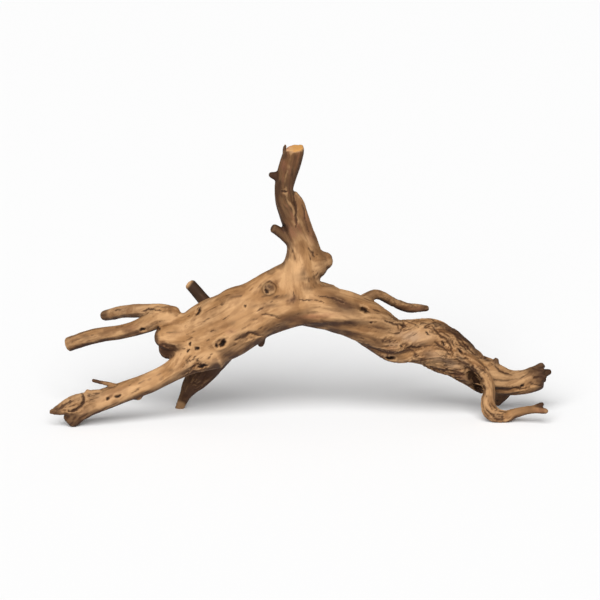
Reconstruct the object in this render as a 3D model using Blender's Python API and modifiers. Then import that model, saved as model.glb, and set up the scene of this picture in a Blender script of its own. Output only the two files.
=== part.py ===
"""A piece of driftwood: one weathered root stock with its limbs, broken ends and knots, on three feet.

It grew as one piece, so it is one solid. Each limb is a loft through a few hand-measured stations. The
limbs are fused into one skin, the hollows are pressed in, and the skin is cut flat where the three feet
meet the floor.
"""

import math

import bmesh
import bpy
import numpy as np
from mathutils import Matrix

# Driving dimensions, in metres.
LENGTH = 0.400  # tip of the lower left limb to the broken right end
SQUARE = LENGTH / 50  # the limbs are laid out on a grid of fifty squares to the length
SKIN_STEP = 0.0010  # mesh size of the fused skin, fine enough for the thinnest twig
FOOT_DEPTH = 0.0009  # how much of each foot the floor has worn flat
TRIANGLES = 9600

# The limbs were sighted from the front, this far above the level: what lies further back is seen higher.
SIGHT = math.radians(16)
TOWARDS_EYE = np.array([0.0, -math.cos(SIGHT), math.sin(SIGHT)])
BACKWARDS = np.array([0.0, 1.0, 0.0])
UPWARDS = np.array([0.0, 0.0, 1.0])
FRONT_FOOT_BACK = -3.6

# The middle of the bounding box, in squares across and back, which becomes the origin, and where it is seen.
MIDDLE_ACROSS = -0.03
MIDDLE_BACK = 0.58
ORIGIN_SEEN = (MIDDLE_BACK - FRONT_FOOT_BACK) * math.sin(SIGHT)

ROUND_SIDES = 24
TRUNK_SIDES = 56
PATH_STEP = 0.3  # squares between the rings of a loft

DOME_LEANS = np.radians([25, 50, 72])  # where the rings of a rounded end lie on its dome

# The ribs are waves around a limb's section: (count, share of the height, phase, drift a square).
RIB_WAVES = [(5, 1.0, 0.0, 0.0), (8, 0.7, 1.3, 0.0), (3, 0.4, -1.57, -0.5)]

CREASE_REACH = 0.0035  # how near a second limb has to be for the wood to fill the crease
CREASE_STEPS = 45
CREASE_SHARE = 0.8  # of the way to the neighbours' mean, in each step
NORMALS_EVERY = 5  # steps between two readings of the normals
FACING_GAIN = 2.5  # how soon a hollow fades on skin that turns away

WOOD_COLOUR = (0.50, 0.31, 0.17, 1.0)
WOOD_ROUGHNESS = 0.7

# A station is (across, seen height, back, half width), in squares. Across is from the middle of the piece,
# the seen height from the front foot, and back is the depth behind the middle. The trunk's stations go on
# with its thickness over its width, and with the height of its twisted ribs over its half width.
TRUNK = [
    (-13.4, 9.1, -0.3, 1.05, 0.9, 0.0),
    (-12.2, 9.0, -0.55, 1.9, 0.9, 0.0),
    (-10.8, 9.1, -0.8, 2.6, 0.88, 0.01),
    (-9.0, 9.55, -1.0, 3.1, 0.85, 0.015),
    (-7.4, 10.1, -1.2, 3.25, 0.85, 0.015),
    (-5.6, 10.9, -1.4, 2.95, 0.9, 0.02),
    (-3.8, 11.65, -1.5, 2.6, 0.95, 0.025),
    (-1.9, 12.2, -1.6, 2.4, 1.0, 0.03),
    (0.1, 12.4, -1.6, 2.28, 1.0, 0.035),
    (1.9, 12.15, -1.55, 2.25, 1.0, 0.04),
    (3.7, 11.65, -1.45, 2.18, 1.0, 0.045),
    (5.2, 11.15, -1.3, 2.12, 1.0, 0.05),
    (6.7, 10.42, -1.1, 2.15, 1.0, 0.05),
    (8.2, 9.42, -0.9, 2.08, 1.0, 0.05),
    (9.5, 8.67, -0.75, 2.12, 1.0, 0.05),
    (10.9, 8.58, -0.65, 2.12, 1.0, 0.055),
    (12.4, 8.45, -0.6, 2.25, 1.0, 0.07),
    (13.9, 8.05, -0.55, 2.3, 1.0, 0.075),
    (15.2, 7.3, -0.45, 2.12, 1.0, 0.075),
    (16.5, 6.4, -0.35, 1.78, 1.0, 0.07),
    (17.8, 5.63, -0.2, 1.53, 1.0, 0.07),
    (19.2, 5.05, 0.0, 1.5, 1.0, 0.07),
    (20.6, 4.47, 0.25, 1.24, 1.0, 0.08),
    (22.0, 4.37, 0.55, 1.15, 1.0, 0.08),
    (23.2, 4.56, 0.8, 1.2, 1.0, 0.09),
    (23.95, 4.82, 0.95, 1.28, 1.0, 0.1),
]
TRUNK_TWIST = 0.21  # radians a square

LOWER_LEFT_LIMB = [
    (-8.8, 7.9, -1.5, 2.2),
    (-11.0, 6.85, -1.9, 1.55),
    (-12.8, 5.62, -2.2, 1.08),
    (-15.0, 4.5, -2.6, 1.0),
    (-17.0, 3.72, -3.0, 1.03),
    (-18.8, 3.07, -3.3, 1.07),
    (-20.2, 2.55, -3.45, 1.08),
    (-21.4, 1.98, -3.55, 1.02),
    (-22.3, 1.32, -3.6, 0.9),
    (-23.1, 0.62, -3.6, 0.82),
]
SPLINTER = [
    (-20.3, 2.8, -3.9, 0.72),
    (-21.4, 2.58, -4.15, 0.92),
    (-22.6, 2.2, -4.25, 1.0),
    (-23.8, 1.8, -4.25, 0.68),
    (-24.95, 1.5, -4.2, 0.24),
]
LIMB_TWIG = [
    (-18.5, 4.1, -3.3, 0.38),
    (-19.3, 4.4, -3.4, 0.24),
    (-20.05, 4.54, -3.5, 0.2),
    (-20.8, 4.68, -3.55, 0.17),
]
LIMB_BUMP = [
    (-16.2, 3.5, -3.0, 0.6),
    (-16.3, 3.02, -3.0, 0.42),
]
LIMB_BURR = [
    (-20.1, 3.35, -3.7, 0.4),
    (-21.0, 3.3, -3.8, 0.42),
    (-21.3, 3.62, -3.9, 0.2),
]
FORK_BASE = [
    (-10.6, 9.5, -0.9, 1.5),
    (-11.9, 10.05, -0.7, 1.08),
    (-13.2, 11.0, -0.4, 0.95),
    (-14.2, 11.15, -0.2, 0.92),
]
FRONT_LEFT_ARM = [
    (-13.0, 11.1, -0.5, 1.0),
    (-14.3, 10.75, -0.3, 0.93),
    (-15.5, 10.27, 0.0, 0.84),
    (-16.8, 9.8, 0.35, 0.73),
    (-18.3, 9.45, 0.75, 0.69),
    (-19.8, 9.25, 1.1, 0.7),
    (-21.2, 8.95, 1.4, 0.74),
    (-22.4, 8.57, 1.6, 0.72),
    (-23.5, 8.2, 1.75, 0.68),
]
REAR_LEFT_ARM = [
    (-12.8, 11.2, -0.3, 0.9),
    (-14.0, 11.6, 0.3, 0.72),
    (-15.4, 11.6, 1.4, 0.7),
    (-16.8, 11.6, 2.6, 0.68),
    (-18.1, 11.5, 3.8, 0.6),
    (-19.0, 11.3, 4.7, 0.56),
    (-19.85, 11.12, 5.5, 0.5),
]
REAR_STUB = [
    (-8.7, 11.45, 0.6, 0.8),
    (-9.7, 12.65, 1.6, 0.6),
    (-10.52, 13.6, 2.5, 0.56),
    (-11.15, 14.3, 3.1, 0.56),
]
ROOT_FLAP = [
    (-8.6, 7.9, -0.6, 2.1),
    (-9.5, 6.2, 0.4, 1.6),
    (-10.25, 5.0, 1.0, 1.25),
    (-11.08, 4.0, 1.5, 0.93),
    (-11.6, 3.15, 1.85, 0.6),
    (-12.03, 2.3, 2.15, 0.48),
    (-12.28, 1.62, 2.35, 0.42),
]
COLLAR = [
    (-11.4, 9.1, -1.5, 1.5),
    (-12.9, 9.0, -1.8, 1.3),
    (-13.8, 9.0, -1.8, 1.05),
]
COLLAR_HEEL = [
    (-11.8, 8.1, -0.6, 1.25),
    (-13.35, 7.92, -0.6, 1.12),
]
UPRIGHT = [
    (-0.4, 13.2, -1.5, 2.35),
    (-0.15, 15.1, -1.45, 1.95),
    (0.1, 16.7, -1.5, 1.62),
    (0.05, 18.1, -1.55, 1.38),
    (-0.4, 19.6, -1.7, 1.17),
    (-1.06, 21.2, -1.95, 1.02),
    (-1.56, 22.6, -2.15, 0.92),
    (-1.66, 23.8, -2.4, 0.9),
    (-1.4, 25.0, -2.7, 0.97),
    (-0.97, 26.3, -3.0, 1.03),
    (-0.62, 27.35, -3.2, 0.98),
    (-0.62, 27.65, -3.25, 0.97),
]
UPRIGHT_RIB = [
    (1.1, 16.6, -1.1, 1.2),
    (0.85, 18.2, -1.25, 0.95),
    (0.45, 19.8, -1.5, 0.72),
    (0.12, 21.2, -1.75, 0.6),
    (-0.12, 22.3, -1.95, 0.5),
    (-0.6, 23.2, -2.1, 0.3),
]
UPRIGHT_HEEL = [
    (0.1, 15.6, -1.1, 1.9),
    (1.3, 16.3, -1.1, 1.6),
    (2.25, 16.62, -1.1, 1.18),
]
UPRIGHT_ROOT = [
    (-0.4, 15.6, -1.3, 1.3),
    (-2.0, 15.0, -1.4, 1.15),
    (-3.6, 14.1, -1.5, 1.2),
    (-5.2, 12.85, -1.5, 1.56),
    (-6.8, 12.15, -1.4, 1.7),
    (-8.1, 11.35, -1.2, 1.45),
]
UPRIGHT_PEG = [
    (-0.7, 18.6, -1.7, 0.72),
    (-1.6, 19.2, -1.95, 0.56),
    (-2.3, 19.65, -2.15, 0.52),
    (-2.75, 19.87, -2.25, 0.46),
]
UPRIGHT_NUB = [
    (-1.9, 24.9, -2.6, 0.42),
    (-2.6, 25.0, -2.75, 0.34),
    (-2.95, 25.1, -2.85, 0.24),
]
REAR_TWIG = [
    (5.6, 11.9, -0.4, 0.95),
    (6.6, 12.8, 0.2, 0.6),
    (7.5, 13.26, 0.8, 0.48),
    (8.3, 13.05, 1.4, 0.44),
    (9.1, 12.6, 1.9, 0.43),
    (10.0, 12.15, 2.4, 0.44),
    (10.9, 11.9, 2.9, 0.44),
    (11.8, 11.9, 3.3, 0.38),
    (12.75, 11.86, 3.65, 0.26),
]
CURL = [
    (15.6, 7.6, -2.2, 0.5),
    (17.0, 6.6, -2.05, 0.55),
    (18.0, 5.7, -2.1, 0.54),
    (18.68, 4.7, -2.25, 0.52),
    (18.88, 3.6, -2.35, 0.55),
    (18.8, 2.5, -2.35, 0.66),
    (19.05, 1.6, -2.25, 0.74),
    (19.8, 1.05, -2.15, 0.66),
    (20.7, 0.98, -2.25, 0.59),
    (21.5, 1.35, -2.5, 0.47),
    (22.5, 1.6, -2.85, 0.39),
    (23.5, 1.72, -3.15, 0.35),
    (24.2, 1.63, -3.35, 0.29),
    (24.6, 1.56, -3.45, 0.23),
]
CURL_FORK = [
    (23.1, 1.72, -3.05, 0.28),
    (23.75, 2.02, -3.0, 0.25),
    (24.2, 2.25, -2.9, 0.22),
]
HEEL_STUB = [
    (20.72, 4.1, 0.8, 0.93),
    (20.3, 3.1, 1.15, 0.65),
    (19.9, 2.33, 1.45, 0.36),
]
SHOULDER_BUMP = [
    (19.5, 6.2, -0.6, 0.4),
    (19.65, 6.65, -0.6, 0.26),
]
HOLLOW_BACK = [
    (14.8, 6.5, 0.0, 1.1),
    (16.6, 5.15, 0.3, 0.8),
    (17.7, 4.2, 0.45, 0.65),
    (18.3, 3.62, 0.55, 0.42),
]
TRUNK_KNOT = [
    (-3.1, 13.7, -2.4, 0.8),
    (-3.12, 13.8, -3.3, 0.62),
]
TRUNK_NUB = [
    (-3.9, 9.3, -1.2, 0.45),
    (-3.95, 8.4, -1.2, 0.34),
    (-4.0, 8.2, -1.2, 0.26),
]
REAR_RIDGE = [
    (-4.6, 12.3, 0.6, 1.1),
    (-6.6, 11.9, 1.0, 0.95),
    (-8.8, 11.1, 1.1, 0.9),
]
REAR_SCAR = [
    (3.0, 13.0, 0.2, 0.95),
    (2.9, 13.75, 1.3, 0.72),
]

# The right end is broken into splinters: (turn in degrees, reach in squares, half width in squares).
END_SPLINTERS = [
    (100, 0.45, 0.42),
    (60, 0.75, 0.34),
    (15, 1.2, 0.4),
    (-30, 0.85, 0.36),
    (-80, 0.4, 0.26),
    (150, 0.6, 0.34),
    (190, 0.8, 0.36),
    (235, 0.55, 0.28),
]
SPLINTER_RING = 0.62  # the ring they stand in, over the trunk's half width

# From root to tip: (how far along its reach, lift, lean outwards, half width over the splinter's own).
SPLINTER_SHAPE = [
    (-0.9, -0.35, 0.8, 1.3),
    (0.0, 0.0, 1.0, 1.15),
    (0.45, 0.18, 1.15, 0.85),
    (0.85, 0.3, 1.3, 0.5),
]

# A hollow is pressed in from the front as it is seen, or from the back on the level. It is (across, height,
# half length, half width, turn in degrees, depth), in squares.
FRONT_HOLLOWS = [
    (17.6, 4.6, 1.35, 0.5, -62, 1.5),
    (-13.1, 8.05, 0.9, 0.28, -28, 0.4),
    (-8.0, 8.4, 0.5, 0.36, 35, 0.35),
    (-5.2, 9.15, 1.25, 0.36, 14, 0.4),
    (6.5, 11.7, 0.6, 0.26, -22, 0.35),
    (9.0, 6.95, 0.4, 0.22, -5, 0.3),
    (-1.4, 18.75, 0.35, 0.25, 20, 0.35),
    (-10.2, 11.6, 0.5, 0.25, 60, 0.35),
]
BACK_HOLLOWS = [
    (-5.8, 9.4, 2.4, 0.5, 158, 0.5),
    (4.4, 9.9, 1.9, 0.42, 14, 0.4),
    (12.6, 6.2, 1.6, 0.4, 30, 0.45),
    (0.4, 15.2, 1.8, 0.35, 84, 0.4),
]


def place(across, seen, back):
    """The point in the frame of something seen at that height by the eye, that far back."""
    high = (seen - (back - FRONT_FOOT_BACK) * math.sin(SIGHT)) / math.cos(SIGHT)
    return np.stack([across - MIDDLE_ACROSS, back - MIDDLE_BACK, high], axis=-1) * SQUARE


def read_path(stations):
    """A Catmull-Rom curve through the stations, read every PATH_STEP: centres, half widths and the rest."""
    rows = np.array(stations, float)
    rows[:, :4] = np.column_stack([place(rows[:, 0], rows[:, 1], rows[:, 2]), rows[:, 3] * SQUARE])
    ends = np.vstack([2 * rows[0] - rows[1], rows, 2 * rows[-1] - rows[-2]])
    pieces = []
    for a, b, c, d in zip(ends, ends[1:], ends[2:], ends[3:]):
        count = max(2, round(np.linalg.norm((c - b)[:3]) / (PATH_STEP * SQUARE)))
        t = np.linspace(0, 1, count, endpoint=False)[:, None]
        bend = (2 * a - 5 * b + 4 * c - d) * t**2 + (3 * b - a - 3 * c + d) * t**3
        pieces.append(b + ((c - a) * t + bend) / 2)
    path = np.vstack(pieces + [rows[-1:]])
    return path[:, :3], path[:, 3], path[:, 4:]


def unit(vectors):
    return vectors / np.linalg.norm(vectors, axis=-1, keepdims=True)


def loft(stations, sides=ROUND_SIDES, flatness=1.0, dome=0.8, ribs=0.0, twist=0.0, reference=TOWARDS_EYE):
    """Rings of a limb as an array (ring, side, 3), with its ends rounded off.

    Flatness is the limb's thickness over its width, as seen along the reference. The dome is how far an end
    bulges, over its half width. The ribs' height is over the half width too, and the twist winds them along.
    """
    centres, half, rest = read_path(stations)
    flat = rest[:, 0] if rest.shape[1] else np.full(len(half), flatness)
    depth = rest[:, 1] if rest.shape[1] else np.full(len(half), ribs)
    along = unit(np.gradient(centres, axis=0))
    across = unit(np.cross(along, reference))
    deep = np.cross(across, along)
    run = np.concatenate([[0], np.cumsum(np.linalg.norm(np.diff(centres, axis=0), axis=1))]) / SQUARE
    turn = np.linspace(0, 2 * math.pi, sides, endpoint=False)
    wound = turn[None] - twist * run[:, None]
    drifted = run[:, None]
    wave = sum(share * np.cos(n * wound + phase + drift * drifted) for n, share, phase, drift in RIB_WAVES)
    swell = half[:, None] * (1 + depth[:, None] * wave)
    offset = swell[..., None] * np.cos(turn)[None, :, None] * across[:, None]
    offset = offset + (swell * flat[:, None] * np.sin(turn))[..., None] * deep[:, None]
    first, last = [], []
    for lean in DOME_LEANS:
        rise, shrink = dome * math.sin(lean), math.cos(lean)
        first.insert(0, centres[0] - along[0] * half[0] * rise + offset[0] * shrink)
        last.append(centres[-1] + along[-1] * half[-1] * rise + offset[-1] * shrink)
    return np.concatenate([first, centres[:, None] + offset, last])


def add_limb(work, stations, **shape):
    """Put a closed loft into the bmesh."""
    rings = loft(stations, **shape)
    corners = [[work.verts.new(point) for point in ring] for ring in rings]
    for lower, upper in zip(corners, corners[1:]):
        for k, corner in enumerate(lower):
            after = (k + 1) % len(lower)
            work.faces.new([corner, lower[after], upper[after], upper[k]])
    work.faces.new(corners[0][::-1])
    work.faces.new(corners[-1])


def end_splinters():
    """The stations of each splinter. They stand in a ring round the trunk's end and lean outwards."""
    across, seen, back, half = TRUNK[-1][:4]
    for degrees, reach, width in END_SPLINTERS:
        turn = math.radians(degrees)
        rise, aside = half * SPLINTER_RING * math.sin(turn), half * SPLINTER_RING * math.cos(turn)
        stations = []
        for along, lift, lean, size in SPLINTER_SHAPE:
            out = along * reach if along > 0 else along
            stations.append((across + out, seen + lift + rise * lean, back + aside * lean, width * size))
        yield stations


def all_limbs():
    """Every limb's stations, with what its loft needs besides."""
    return [
        (TRUNK, {"sides": TRUNK_SIDES, "dome": 0.35, "twist": TRUNK_TWIST}),
        (LOWER_LEFT_LIMB, {"dome": 0.4, "ribs": 0.02, "twist": 0.1}),
        (SPLINTER, {"flatness": 0.45}),
        (LIMB_TWIG, {}),
        (LIMB_BUMP, {}),
        (LIMB_BURR, {}),
        (FORK_BASE, {"ribs": 0.03}),
        (FRONT_LEFT_ARM, {"dome": 0.15, "ribs": 0.04, "twist": 0.1}),
        (REAR_LEFT_ARM, {"ribs": 0.04, "twist": 0.1}),
        (REAR_STUB, {"dome": 0.15, "ribs": 0.03}),
        (ROOT_FLAP, {"flatness": 0.6, "ribs": 0.04}),
        (COLLAR, {"flatness": 0.9}),
        (COLLAR_HEEL, {}),
        (UPRIGHT, {"dome": 0.05, "ribs": 0.03, "twist": 0.12}),
        (UPRIGHT_RIB, {"ribs": 0.05, "twist": 0.1}),
        (UPRIGHT_HEEL, {}),
        (UPRIGHT_ROOT, {}),
        (UPRIGHT_PEG, {"dome": 0.3}),
        (UPRIGHT_NUB, {}),
        (REAR_TWIG, {"ribs": 0.05, "twist": 0.3}),
        (HOLLOW_BACK, {}),
        (SHOULDER_BUMP, {}),
        (CURL, {"flatness": 0.95, "ribs": 0.06, "twist": 0.35}),
        (CURL_FORK, {}),
        (HEEL_STUB, {}),
        (TRUNK_KNOT, {"dome": 0.25, "reference": UPWARDS}),
        (TRUNK_NUB, {}),
        (REAR_RIDGE, {}),
        (REAR_SCAR, {"dome": 0.25, "reference": UPWARDS}),
    ] + [(stations, {"dome": 0.5}) for stations in end_splinters()]


def limb_mesh(limbs):
    """All the limbs as closed shells that run into each other, in one mesh."""
    work = bmesh.new()
    for stations, shape in limbs:
        add_limb(work, stations, **shape)
    bmesh.ops.recalc_face_normals(work, faces=work.faces)
    mesh = bpy.data.meshes.new("driftwood")
    work.to_mesh(mesh)
    work.free()
    return mesh


def keep(wood):
    """Make the modified shape the object's own mesh."""
    graph = bpy.context.evaluated_depsgraph_get()
    shaped = bpy.data.meshes.new_from_object(wood.evaluated_get(graph))
    old = wood.data
    wood.modifiers.clear()
    wood.data = shaped
    bpy.data.meshes.remove(old)
    wood.data.name = "driftwood"


def fuse(wood):
    """One skin over all the limbs."""
    skin = wood.modifiers.new("skin", "REMESH")
    skin.mode = "VOXEL"
    skin.voxel_size = SKIN_STEP
    soften = wood.modifiers.new("soften", "SMOOTH")
    soften.factor = 0.5
    soften.iterations = 4
    keep(wood)


def read_vectors(elements, name, kind=np.float32, width=3):
    values = np.empty(len(elements) * width, kind)
    elements.foreach_get(name, values)
    return values.reshape(-1, width)


def crowding(points, limbs):
    """For each point of the skin, 1 where two limbs meet and 0 where the next limb is CREASE_REACH away."""
    gaps = []
    for stations, _ in limbs:
        centres, half, _ = read_path(stations)
        gaps.append((np.linalg.norm(points[:, None] - centres[None], axis=2) - half).min(axis=1))
    nearest, second = np.partition(np.stack(gaps), 1, axis=0)[:2]
    return np.clip(1 - (second - np.maximum(nearest, 0)) / CREASE_REACH, 0, 1)


def fill_creases(mesh, limbs):
    """Let the wood grow into the creases between limbs.

    Points there move to their neighbours' mean, but only outwards, so nothing shrinks.
    """
    points = read_vectors(mesh.vertices, "co").astype(float)
    edges = read_vectors(mesh.edges, "vertices", np.int32, 2)
    start, end = edges.T
    degree = np.bincount(edges.ravel(), minlength=len(points))[:, None]
    share = CREASE_SHARE * crowding(points, limbs)[:, None]
    for step in range(CREASE_STEPS):
        totals = []
        for values in points.T:
            forth = np.bincount(start, values[end], len(points))
            totals.append(forth + np.bincount(end, values[start], len(points)))
        move = np.stack(totals, axis=1) / degree - points
        if step % NORMALS_EVERY == 0:
            mesh.vertices.foreach_set("co", points.astype(np.float32).ravel())
            mesh.update()
            normals = read_vectors(mesh.vertices, "normal")
        points += share * np.where((move * normals).sum(axis=1, keepdims=True) > 0, move, 0)
    mesh.vertices.foreach_set("co", points.astype(np.float32).ravel())
    mesh.update()


def press_hollows(mesh, hollows, towards, lift):
    """Push the skin that faces one way back along that way, most in the middle of each hollow.

    The lift is the height, in squares, that the origin is sighted at from there.
    """
    points = read_vectors(mesh.vertices, "co").astype(float)
    facing = np.clip(read_vectors(mesh.vertices, "normal") @ towards * FACING_GAIN, 0, 1)
    upwards = np.array([0.0, -towards[1] * towards[2], towards[1] ** 2]) / abs(towards[1])
    seen = points @ upwards / SQUARE + lift
    across = points[:, 0] / SQUARE + MIDDLE_ACROSS
    for middle, height, half_length, half_width, degrees, depth in hollows:
        turn = math.radians(degrees)
        right, up = across - middle, seen - height
        long = (right * math.cos(turn) + up * math.sin(turn)) / half_length
        wide = (up * math.cos(turn) - right * math.sin(turn)) / half_width
        amount = np.exp(-((long**2 + wide**2) ** 1.5)) * facing * depth * SQUARE
        points -= amount[:, None] * towards
    mesh.vertices.foreach_set("co", points.astype(np.float32).ravel())
    mesh.update()


def thin_out(wood):
    """Fewer faces, most of them where the skin bends."""
    wood.data.calc_loop_triangles()
    thin = wood.modifiers.new("thin", "DECIMATE")
    thin.ratio = TRIANGLES / len(wood.data.loop_triangles)
    keep(wood)


def flatten_feet(mesh):
    """Cut the skin off at the floor, which leaves a small flat on each of the three feet."""
    work = bmesh.new()
    work.from_mesh(mesh)
    geometry = work.verts[:] + work.edges[:] + work.faces[:]
    cut = bmesh.ops.bisect_plane(
        work, geom=geometry, plane_co=(0, 0, 0), plane_no=(0, 0, -1), dist=1e-6, clear_outer=True
    )
    rim = [item for item in cut["geom_cut"] if isinstance(item, bmesh.types.BMEdge)]
    bmesh.ops.contextual_create(work, geom=rim)
    bmesh.ops.recalc_face_normals(work, faces=work.faces)
    bmesh.ops.triangulate(work, faces=work.faces)
    work.to_mesh(mesh)
    work.free()


def wood_material():
    material = bpy.data.materials.new("driftwood")
    material.use_nodes = True
    shader = material.node_tree.nodes["Principled BSDF"]
    shader.inputs["Base Color"].default_value = WOOD_COLOUR
    shader.inputs["Roughness"].default_value = WOOD_ROUGHNESS
    shader.inputs["Metallic"].default_value = 0.0
    material.diffuse_color = WOOD_COLOUR
    return material


def main():
    for old in list(bpy.data.objects):
        bpy.data.objects.remove(old)
    collection = bpy.data.collections.new("driftwood")
    bpy.context.scene.collection.children.link(collection)
    limbs = all_limbs()
    wood = bpy.data.objects.new("driftwood", limb_mesh(limbs))
    collection.objects.link(wood)
    fuse(wood)
    fill_creases(wood.data, limbs)
    press_hollows(wood.data, FRONT_HOLLOWS, TOWARDS_EYE, ORIGIN_SEEN)
    press_hollows(wood.data, BACK_HOLLOWS, BACKWARDS, 0.0)
    thin_out(wood)
    wood.data.transform(Matrix.Translation((0, 0, -FOOT_DEPTH)))
    flatten_feet(wood.data)
    wood.data.shade_smooth()
    wood.data.materials.append(wood_material())


main()
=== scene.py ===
# %% [markdown]
# # A piece of driftwood
#
# This lesson dresses one weathered root stock. It grew as one piece: a thick arched trunk, a sawn upright
# limb, broken limbs on the left, thin twigs, and a curled root that it stands on. Water and sand have taken
# the bark, rounded the ridges and left worm holes, cracks and dark stains.
#
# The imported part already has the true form, in about ten thousand faces. Here the same limbs are lofted
# again and fused into a finer skin, so that furrows, holes and cracks can be real shape and not only paint.

import itertools
import math

import bpy
import numpy as np
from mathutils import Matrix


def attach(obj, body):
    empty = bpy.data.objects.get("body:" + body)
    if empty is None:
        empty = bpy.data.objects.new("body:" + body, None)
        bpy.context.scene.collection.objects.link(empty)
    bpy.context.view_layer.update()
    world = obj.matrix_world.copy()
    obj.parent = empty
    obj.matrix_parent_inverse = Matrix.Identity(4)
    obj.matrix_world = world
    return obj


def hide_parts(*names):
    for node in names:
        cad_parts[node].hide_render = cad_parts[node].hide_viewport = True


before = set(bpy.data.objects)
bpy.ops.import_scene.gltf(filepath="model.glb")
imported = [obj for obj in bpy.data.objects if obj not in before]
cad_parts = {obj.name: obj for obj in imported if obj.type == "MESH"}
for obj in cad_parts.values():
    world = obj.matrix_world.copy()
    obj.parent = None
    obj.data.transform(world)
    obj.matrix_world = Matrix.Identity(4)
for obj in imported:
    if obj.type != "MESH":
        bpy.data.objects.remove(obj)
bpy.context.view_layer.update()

# %% [markdown]
# ## How the limbs are laid out
#
# Each limb is written down as a few stations. A station says where the middle of the limb is as the eye
# sees it from the front, how far back it lies, and how thick it is there. The grid has fifty squares to the
# length of the piece. The eye looks down a little, so what lies further back is seen higher, and `place`
# takes that out again. Working in squares keeps the numbers short and easy to check against the wood.

# %% Sizes and sighting
LENGTH = 0.400
SQUARE = LENGTH / 50
SIGHT = math.radians(16)
TOWARDS_EYE = np.array([0.0, -math.cos(SIGHT), math.sin(SIGHT)])
BACKWARDS = np.array([0.0, 1.0, 0.0])
UPWARDS = np.array([0.0, 0.0, 1.0])
FRONT_FOOT_BACK = -3.6
MIDDLE_ACROSS = -0.03
MIDDLE_BACK = 0.58
FOOT_DEPTH = 0.0009


def place(across, seen, back):
    """The point in metres. Its height is the seen height, less what its distance back adds to it."""
    high = (seen - (back - FRONT_FOOT_BACK) * math.sin(SIGHT)) / math.cos(SIGHT)
    return np.stack([across - MIDDLE_ACROSS, back - MIDDLE_BACK, high], axis=-1) * SQUARE


# %% [markdown]
# ## The trunk
#
# The trunk is the old root stock. It rises from the forked end, arches, and runs down to the broken end on
# the right. Its wood is twisted, so its right half has ribs that wind round it. Two more numbers in each
# station give its thickness over its width, and the height of the ribs over the half width.

# %% The trunk's stations
# (across, seen height, back, half width, thickness over width, height of the ribs)
TRUNK = [
    (-13.4, 9.1, -0.3, 1.05, 0.9, 0.0), (-12.2, 9.0, -0.55, 1.9, 0.9, 0.0),
    (-10.8, 9.1, -0.8, 2.6, 0.88, 0.01), (-9.0, 9.55, -1.0, 3.1, 0.85, 0.015),
    (-7.4, 10.1, -1.2, 3.25, 0.85, 0.015), (-5.6, 10.9, -1.4, 2.95, 0.9, 0.02),
    (-3.8, 11.65, -1.5, 2.6, 0.95, 0.025), (-1.9, 12.2, -1.6, 2.4, 1.0, 0.03),
    (0.1, 12.4, -1.6, 2.28, 1.0, 0.035), (1.9, 12.15, -1.55, 2.25, 1.0, 0.04),
    (3.7, 11.65, -1.45, 2.18, 1.0, 0.045), (5.2, 11.15, -1.3, 2.12, 1.0, 0.05),
    (6.7, 10.42, -1.1, 2.15, 1.0, 0.05), (8.2, 9.42, -0.9, 2.08, 1.0, 0.05),
    (9.5, 8.67, -0.75, 2.12, 1.0, 0.05), (10.9, 8.58, -0.65, 2.12, 1.0, 0.055),
    (12.4, 8.45, -0.6, 2.25, 1.0, 0.07), (13.9, 8.05, -0.55, 2.3, 1.0, 0.075),
    (15.2, 7.3, -0.45, 2.12, 1.0, 0.075), (16.5, 6.4, -0.35, 1.78, 1.0, 0.07),
    (17.8, 5.63, -0.2, 1.53, 1.0, 0.07), (19.2, 5.05, 0.0, 1.5, 1.0, 0.07),
    (20.6, 4.47, 0.25, 1.24, 1.0, 0.06), (22.0, 4.37, 0.55, 1.16, 1.0, 0.045),
    (23.2, 4.58, 0.8, 1.2, 1.0, 0.05), (23.85, 4.88, 0.95, 1.18, 1.0, 0.06),
]
TRUNK_TWIST = 0.21
TRUNK_SHAPE = {"sides": 56, "dome": 0.35, "twist": TRUNK_TWIST}
TRUNK_KNOT = [(-3.1, 13.7, -2.4, 0.8), (-3.12, 13.8, -3.3, 0.62)]
TRUNK_NUB = [(-3.9, 9.3, -1.2, 0.45), (-3.95, 8.4, -1.2, 0.34), (-4.0, 8.2, -1.2, 0.26)]
REAR_RIDGE = [(-4.6, 12.3, 0.6, 1.1), (-6.6, 11.9, 1.0, 0.95), (-8.8, 11.1, 1.1, 0.9)]
REAR_SCAR = [(3.0, 13.0, 0.2, 0.95), (2.9, 13.75, 1.3, 0.72)]
SHOULDER_BUMP = [(19.5, 6.2, -0.6, 0.4), (19.65, 6.65, -0.6, 0.26)]

# %% [markdown]
# ## The limbs on the left
#
# One long limb runs down to a foot and ends in a leaf-shaped splinter beside a stub. Two arms fork from a
# rounded collar above it, a short stub stands up behind, and a flat root flap reaches the floor.

# %% The left limbs' stations
LOWER_LEFT_LIMB = [
    (-8.8, 7.9, -1.5, 2.2), (-11.0, 6.85, -1.9, 1.55), (-12.8, 5.62, -2.2, 1.08), (-15.0, 4.5, -2.6, 1.0),
    (-17.0, 3.72, -3.0, 1.03), (-18.8, 3.07, -3.3, 1.07), (-20.2, 2.55, -3.45, 1.08),
    (-21.4, 1.98, -3.55, 1.02), (-22.3, 1.32, -3.6, 0.9), (-23.1, 0.62, -3.6, 0.82),
]
SPLINTER = [
    (-20.3, 2.8, -3.9, 0.72), (-21.4, 2.58, -4.15, 0.92), (-22.6, 2.2, -4.25, 1.0),
    (-23.8, 1.8, -4.25, 0.68), (-24.95, 1.5, -4.2, 0.24),
]
LIMB_TWIG = [
    (-18.6, 4.0, -3.3, 0.34), (-19.2, 4.3, -3.4, 0.21), (-19.95, 4.46, -3.5, 0.18),
    (-20.75, 4.66, -3.55, 0.16),
]
LIMB_BUMP = [(-16.2, 3.5, -3.0, 0.6), (-16.3, 3.02, -3.0, 0.42)]
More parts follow.
